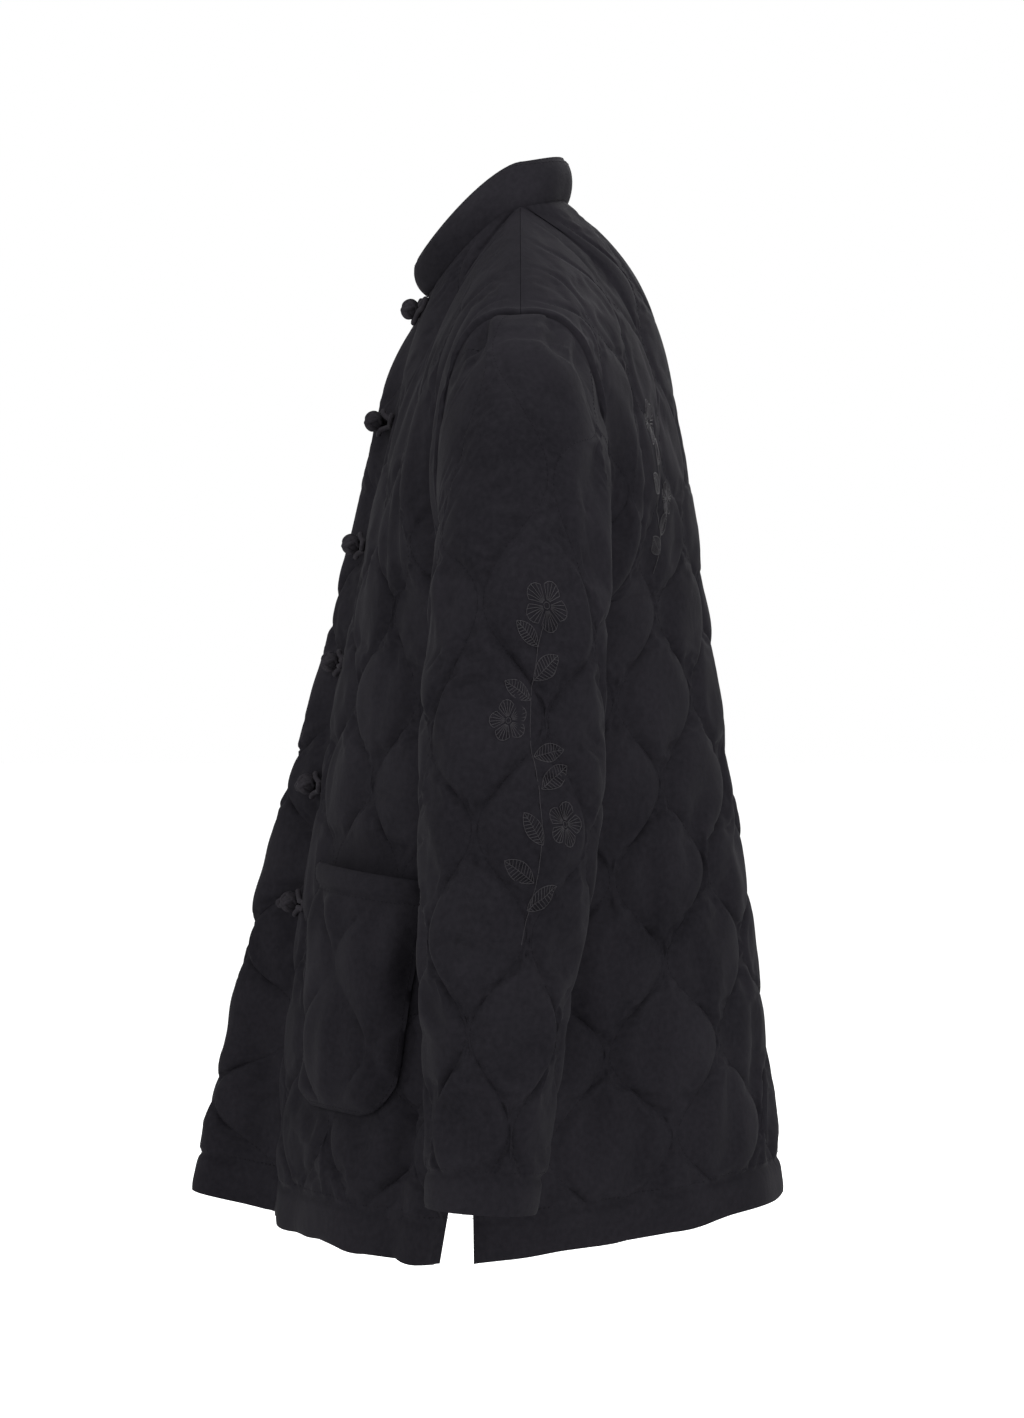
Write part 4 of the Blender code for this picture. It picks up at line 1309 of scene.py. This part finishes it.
def blossomThreads(size):
    threads = []
    shape, wide = sprigShape, sprigShape["petalFan"]
    (dip, bend), (foot, pinch) = shape["petalRound"], shape["petalFoot"]
    fan = np.linspace(-wide, wide, shape["petalStrokes"])
    reach = size * (1 - dip + dip * np.cos(fan * bend))
    for petal in range(shape["petals"]):
        turn = 2 * math.pi * petal / shape["petals"]
        tips = reach[:, None] * onCircle(turn + fan)
        feet = foot * size * onCircle(turn + fan * pinch)
        threads += [tips] + [np.linspace(*ends, 4) for ends in zip(feet, tips)]
    threads.append(shape["eye"] * size * onCircle(np.linspace(0, 2 * math.pi, 11)))
    return threads


def makeSprig(panel, rows, stem, share, place, acrossMetre, downMetre):
    threads = [smoothPath([(x, y, 0) for x, y in stem], 40)[:, :2]]
    for item in asRows(sprigColumns, rows):
        turn = math.radians(item["heading"])
        turned = np.array(((math.cos(turn), math.sin(turn)), (-math.sin(turn), math.cos(turn))))
        drawn = leafThreads(item["size"]) if item["kind"] == "leaf" else blossomThreads(item["size"])
        threads += [thread @ turned + (item["side"], item["up"]) for thread in drawn]
    joined = np.concatenate(threads)
    places, shares = place + joined[:, 0] * acrossMetre, share - joined[:, 1] * downMetre
    out = unit(surfaceAt(panel, "out", shares, places))
    found = surfaceAt(panel, "outside", shares, places) + out * sprigShape["lift"]
    ends = np.cumsum([len(thread) for thread in threads])
    return [(part, False) for part in np.split(found, ends[:-1])]


# node, drawing, stem, the foot's share and place, shares per metre across and down
sprigPlaces = (
    ("sleeve_left", sleeveSprig, sleeveStem, 0.72, 0.30, 17.0, 1.62),
    ("sleeve_right", sleeveSprig, sleeveStem, 0.72, 0.30, 17.0, 1.62),
    ("back", backSprig, backStem, 0.32, 0.56, 3.2, 1.40),
    ("back", backSprig, backStem, 0.32, -0.56, -3.2, 1.40),
)
sprigPaths = []
for node, *drawing in sprigPlaces:
    sprigPaths += makeSprig(panels[node], *drawing)
sprigs = alongPaths("silkSprigs", cordTree, sprigShape, sprigPaths, silkThread)
dress(sprigs, None)
print("sprigs made")

# Stage, light and camera

stageSize = {"floorZ": -0.96, "half": 40.0}
cameraPlace = {"distance": 3.0, "y": -0.006, "z": -0.363, "pixelsPerMetre": 1330, "longSide": 1418}
studio = {"world": 1.0, "glow": 0.20}
lightColumns = ("name", "place", "aim", "size", "watts")
lights = (
    ("key", (2.6, 2.2, 1.9), (0.0, 0.0, -0.3), 1.8, 83),
    ("fill", (1.6, -3.0, 0.9), (0.0, 0.0, -0.4), 2.4, 44),
    ("overhead", (0.6, 0.0, 2.2), (0.0, 0.0, -0.3), 1.8, 58),
    ("rear", (-2.6, 1.6, 1.6), (0.0, 0.0, -0.3), 2.4, 50),
)


def makeStage(size):
    half, floorZ = size["half"], size["floorZ"]
    points = [(x, y, floorZ) for x, y in ((-half, -half), (half, -half), (half, half), (-half, half))]
    material = bpy.data.materials.new("paleFloor")
    material.use_nodes = True
    shader = material.node_tree.nodes["Principled BSDF"]
    shader.inputs["Base Color"].default_value = (0.90, 0.90, 0.90, 1)
    shader.inputs["Roughness"].default_value = 0.9
    shader.inputs["Emission Color"].default_value = (1, 1, 1, 1)
    shader.inputs["Emission Strength"].default_value = studio["glow"]
    meshPiece("paleFloor", points, [(0, 1, 2, 3)], material)


def makeLights():
    for light in asRows(lightColumns, lights):
        lamp = bpy.data.lights.new(light["name"], "AREA")
        lamp.size = light["size"]
        lamp.energy = light["watts"]
        holder = bpy.data.objects.new(light["name"], lamp)
        holder.location = light["place"]
        direction = Vector(light["aim"]) - Vector(light["place"])
        holder.rotation_euler = direction.to_track_quat("-Z", "Y").to_euler()
        bpy.context.scene.collection.objects.link(holder)
    world = bpy.data.worlds.new("studio")
    world.use_nodes = True
    background = world.node_tree.nodes["Background"]
    background.inputs["Color"].default_value = (1, 1, 1, 1)
    background.inputs["Strength"].default_value = studio["world"]
    bpy.context.scene.world = world
    bpy.context.scene.view_settings.view_transform = "Standard"


def makeCamera(place):
    eye = bpy.data.cameras.new("photoCamera")
    eye.sensor_width = 36
    eye.lens = eye.sensor_width * place["distance"] * place["pixelsPerMetre"] / place["longSide"]
    eye.clip_end = 50
    holder = bpy.data.objects.new("photoCamera", eye)
    holder.location = (place["distance"], place["y"], place["z"])
    holder.rotation_euler = (math.pi / 2, 0, math.pi / 2)
    bpy.context.scene.collection.objects.link(holder)
    bpy.context.scene.camera = holder


makeStage(stageSize)
makeLights()
makeCamera(cameraPlace)
print("stage, lights and camera made")
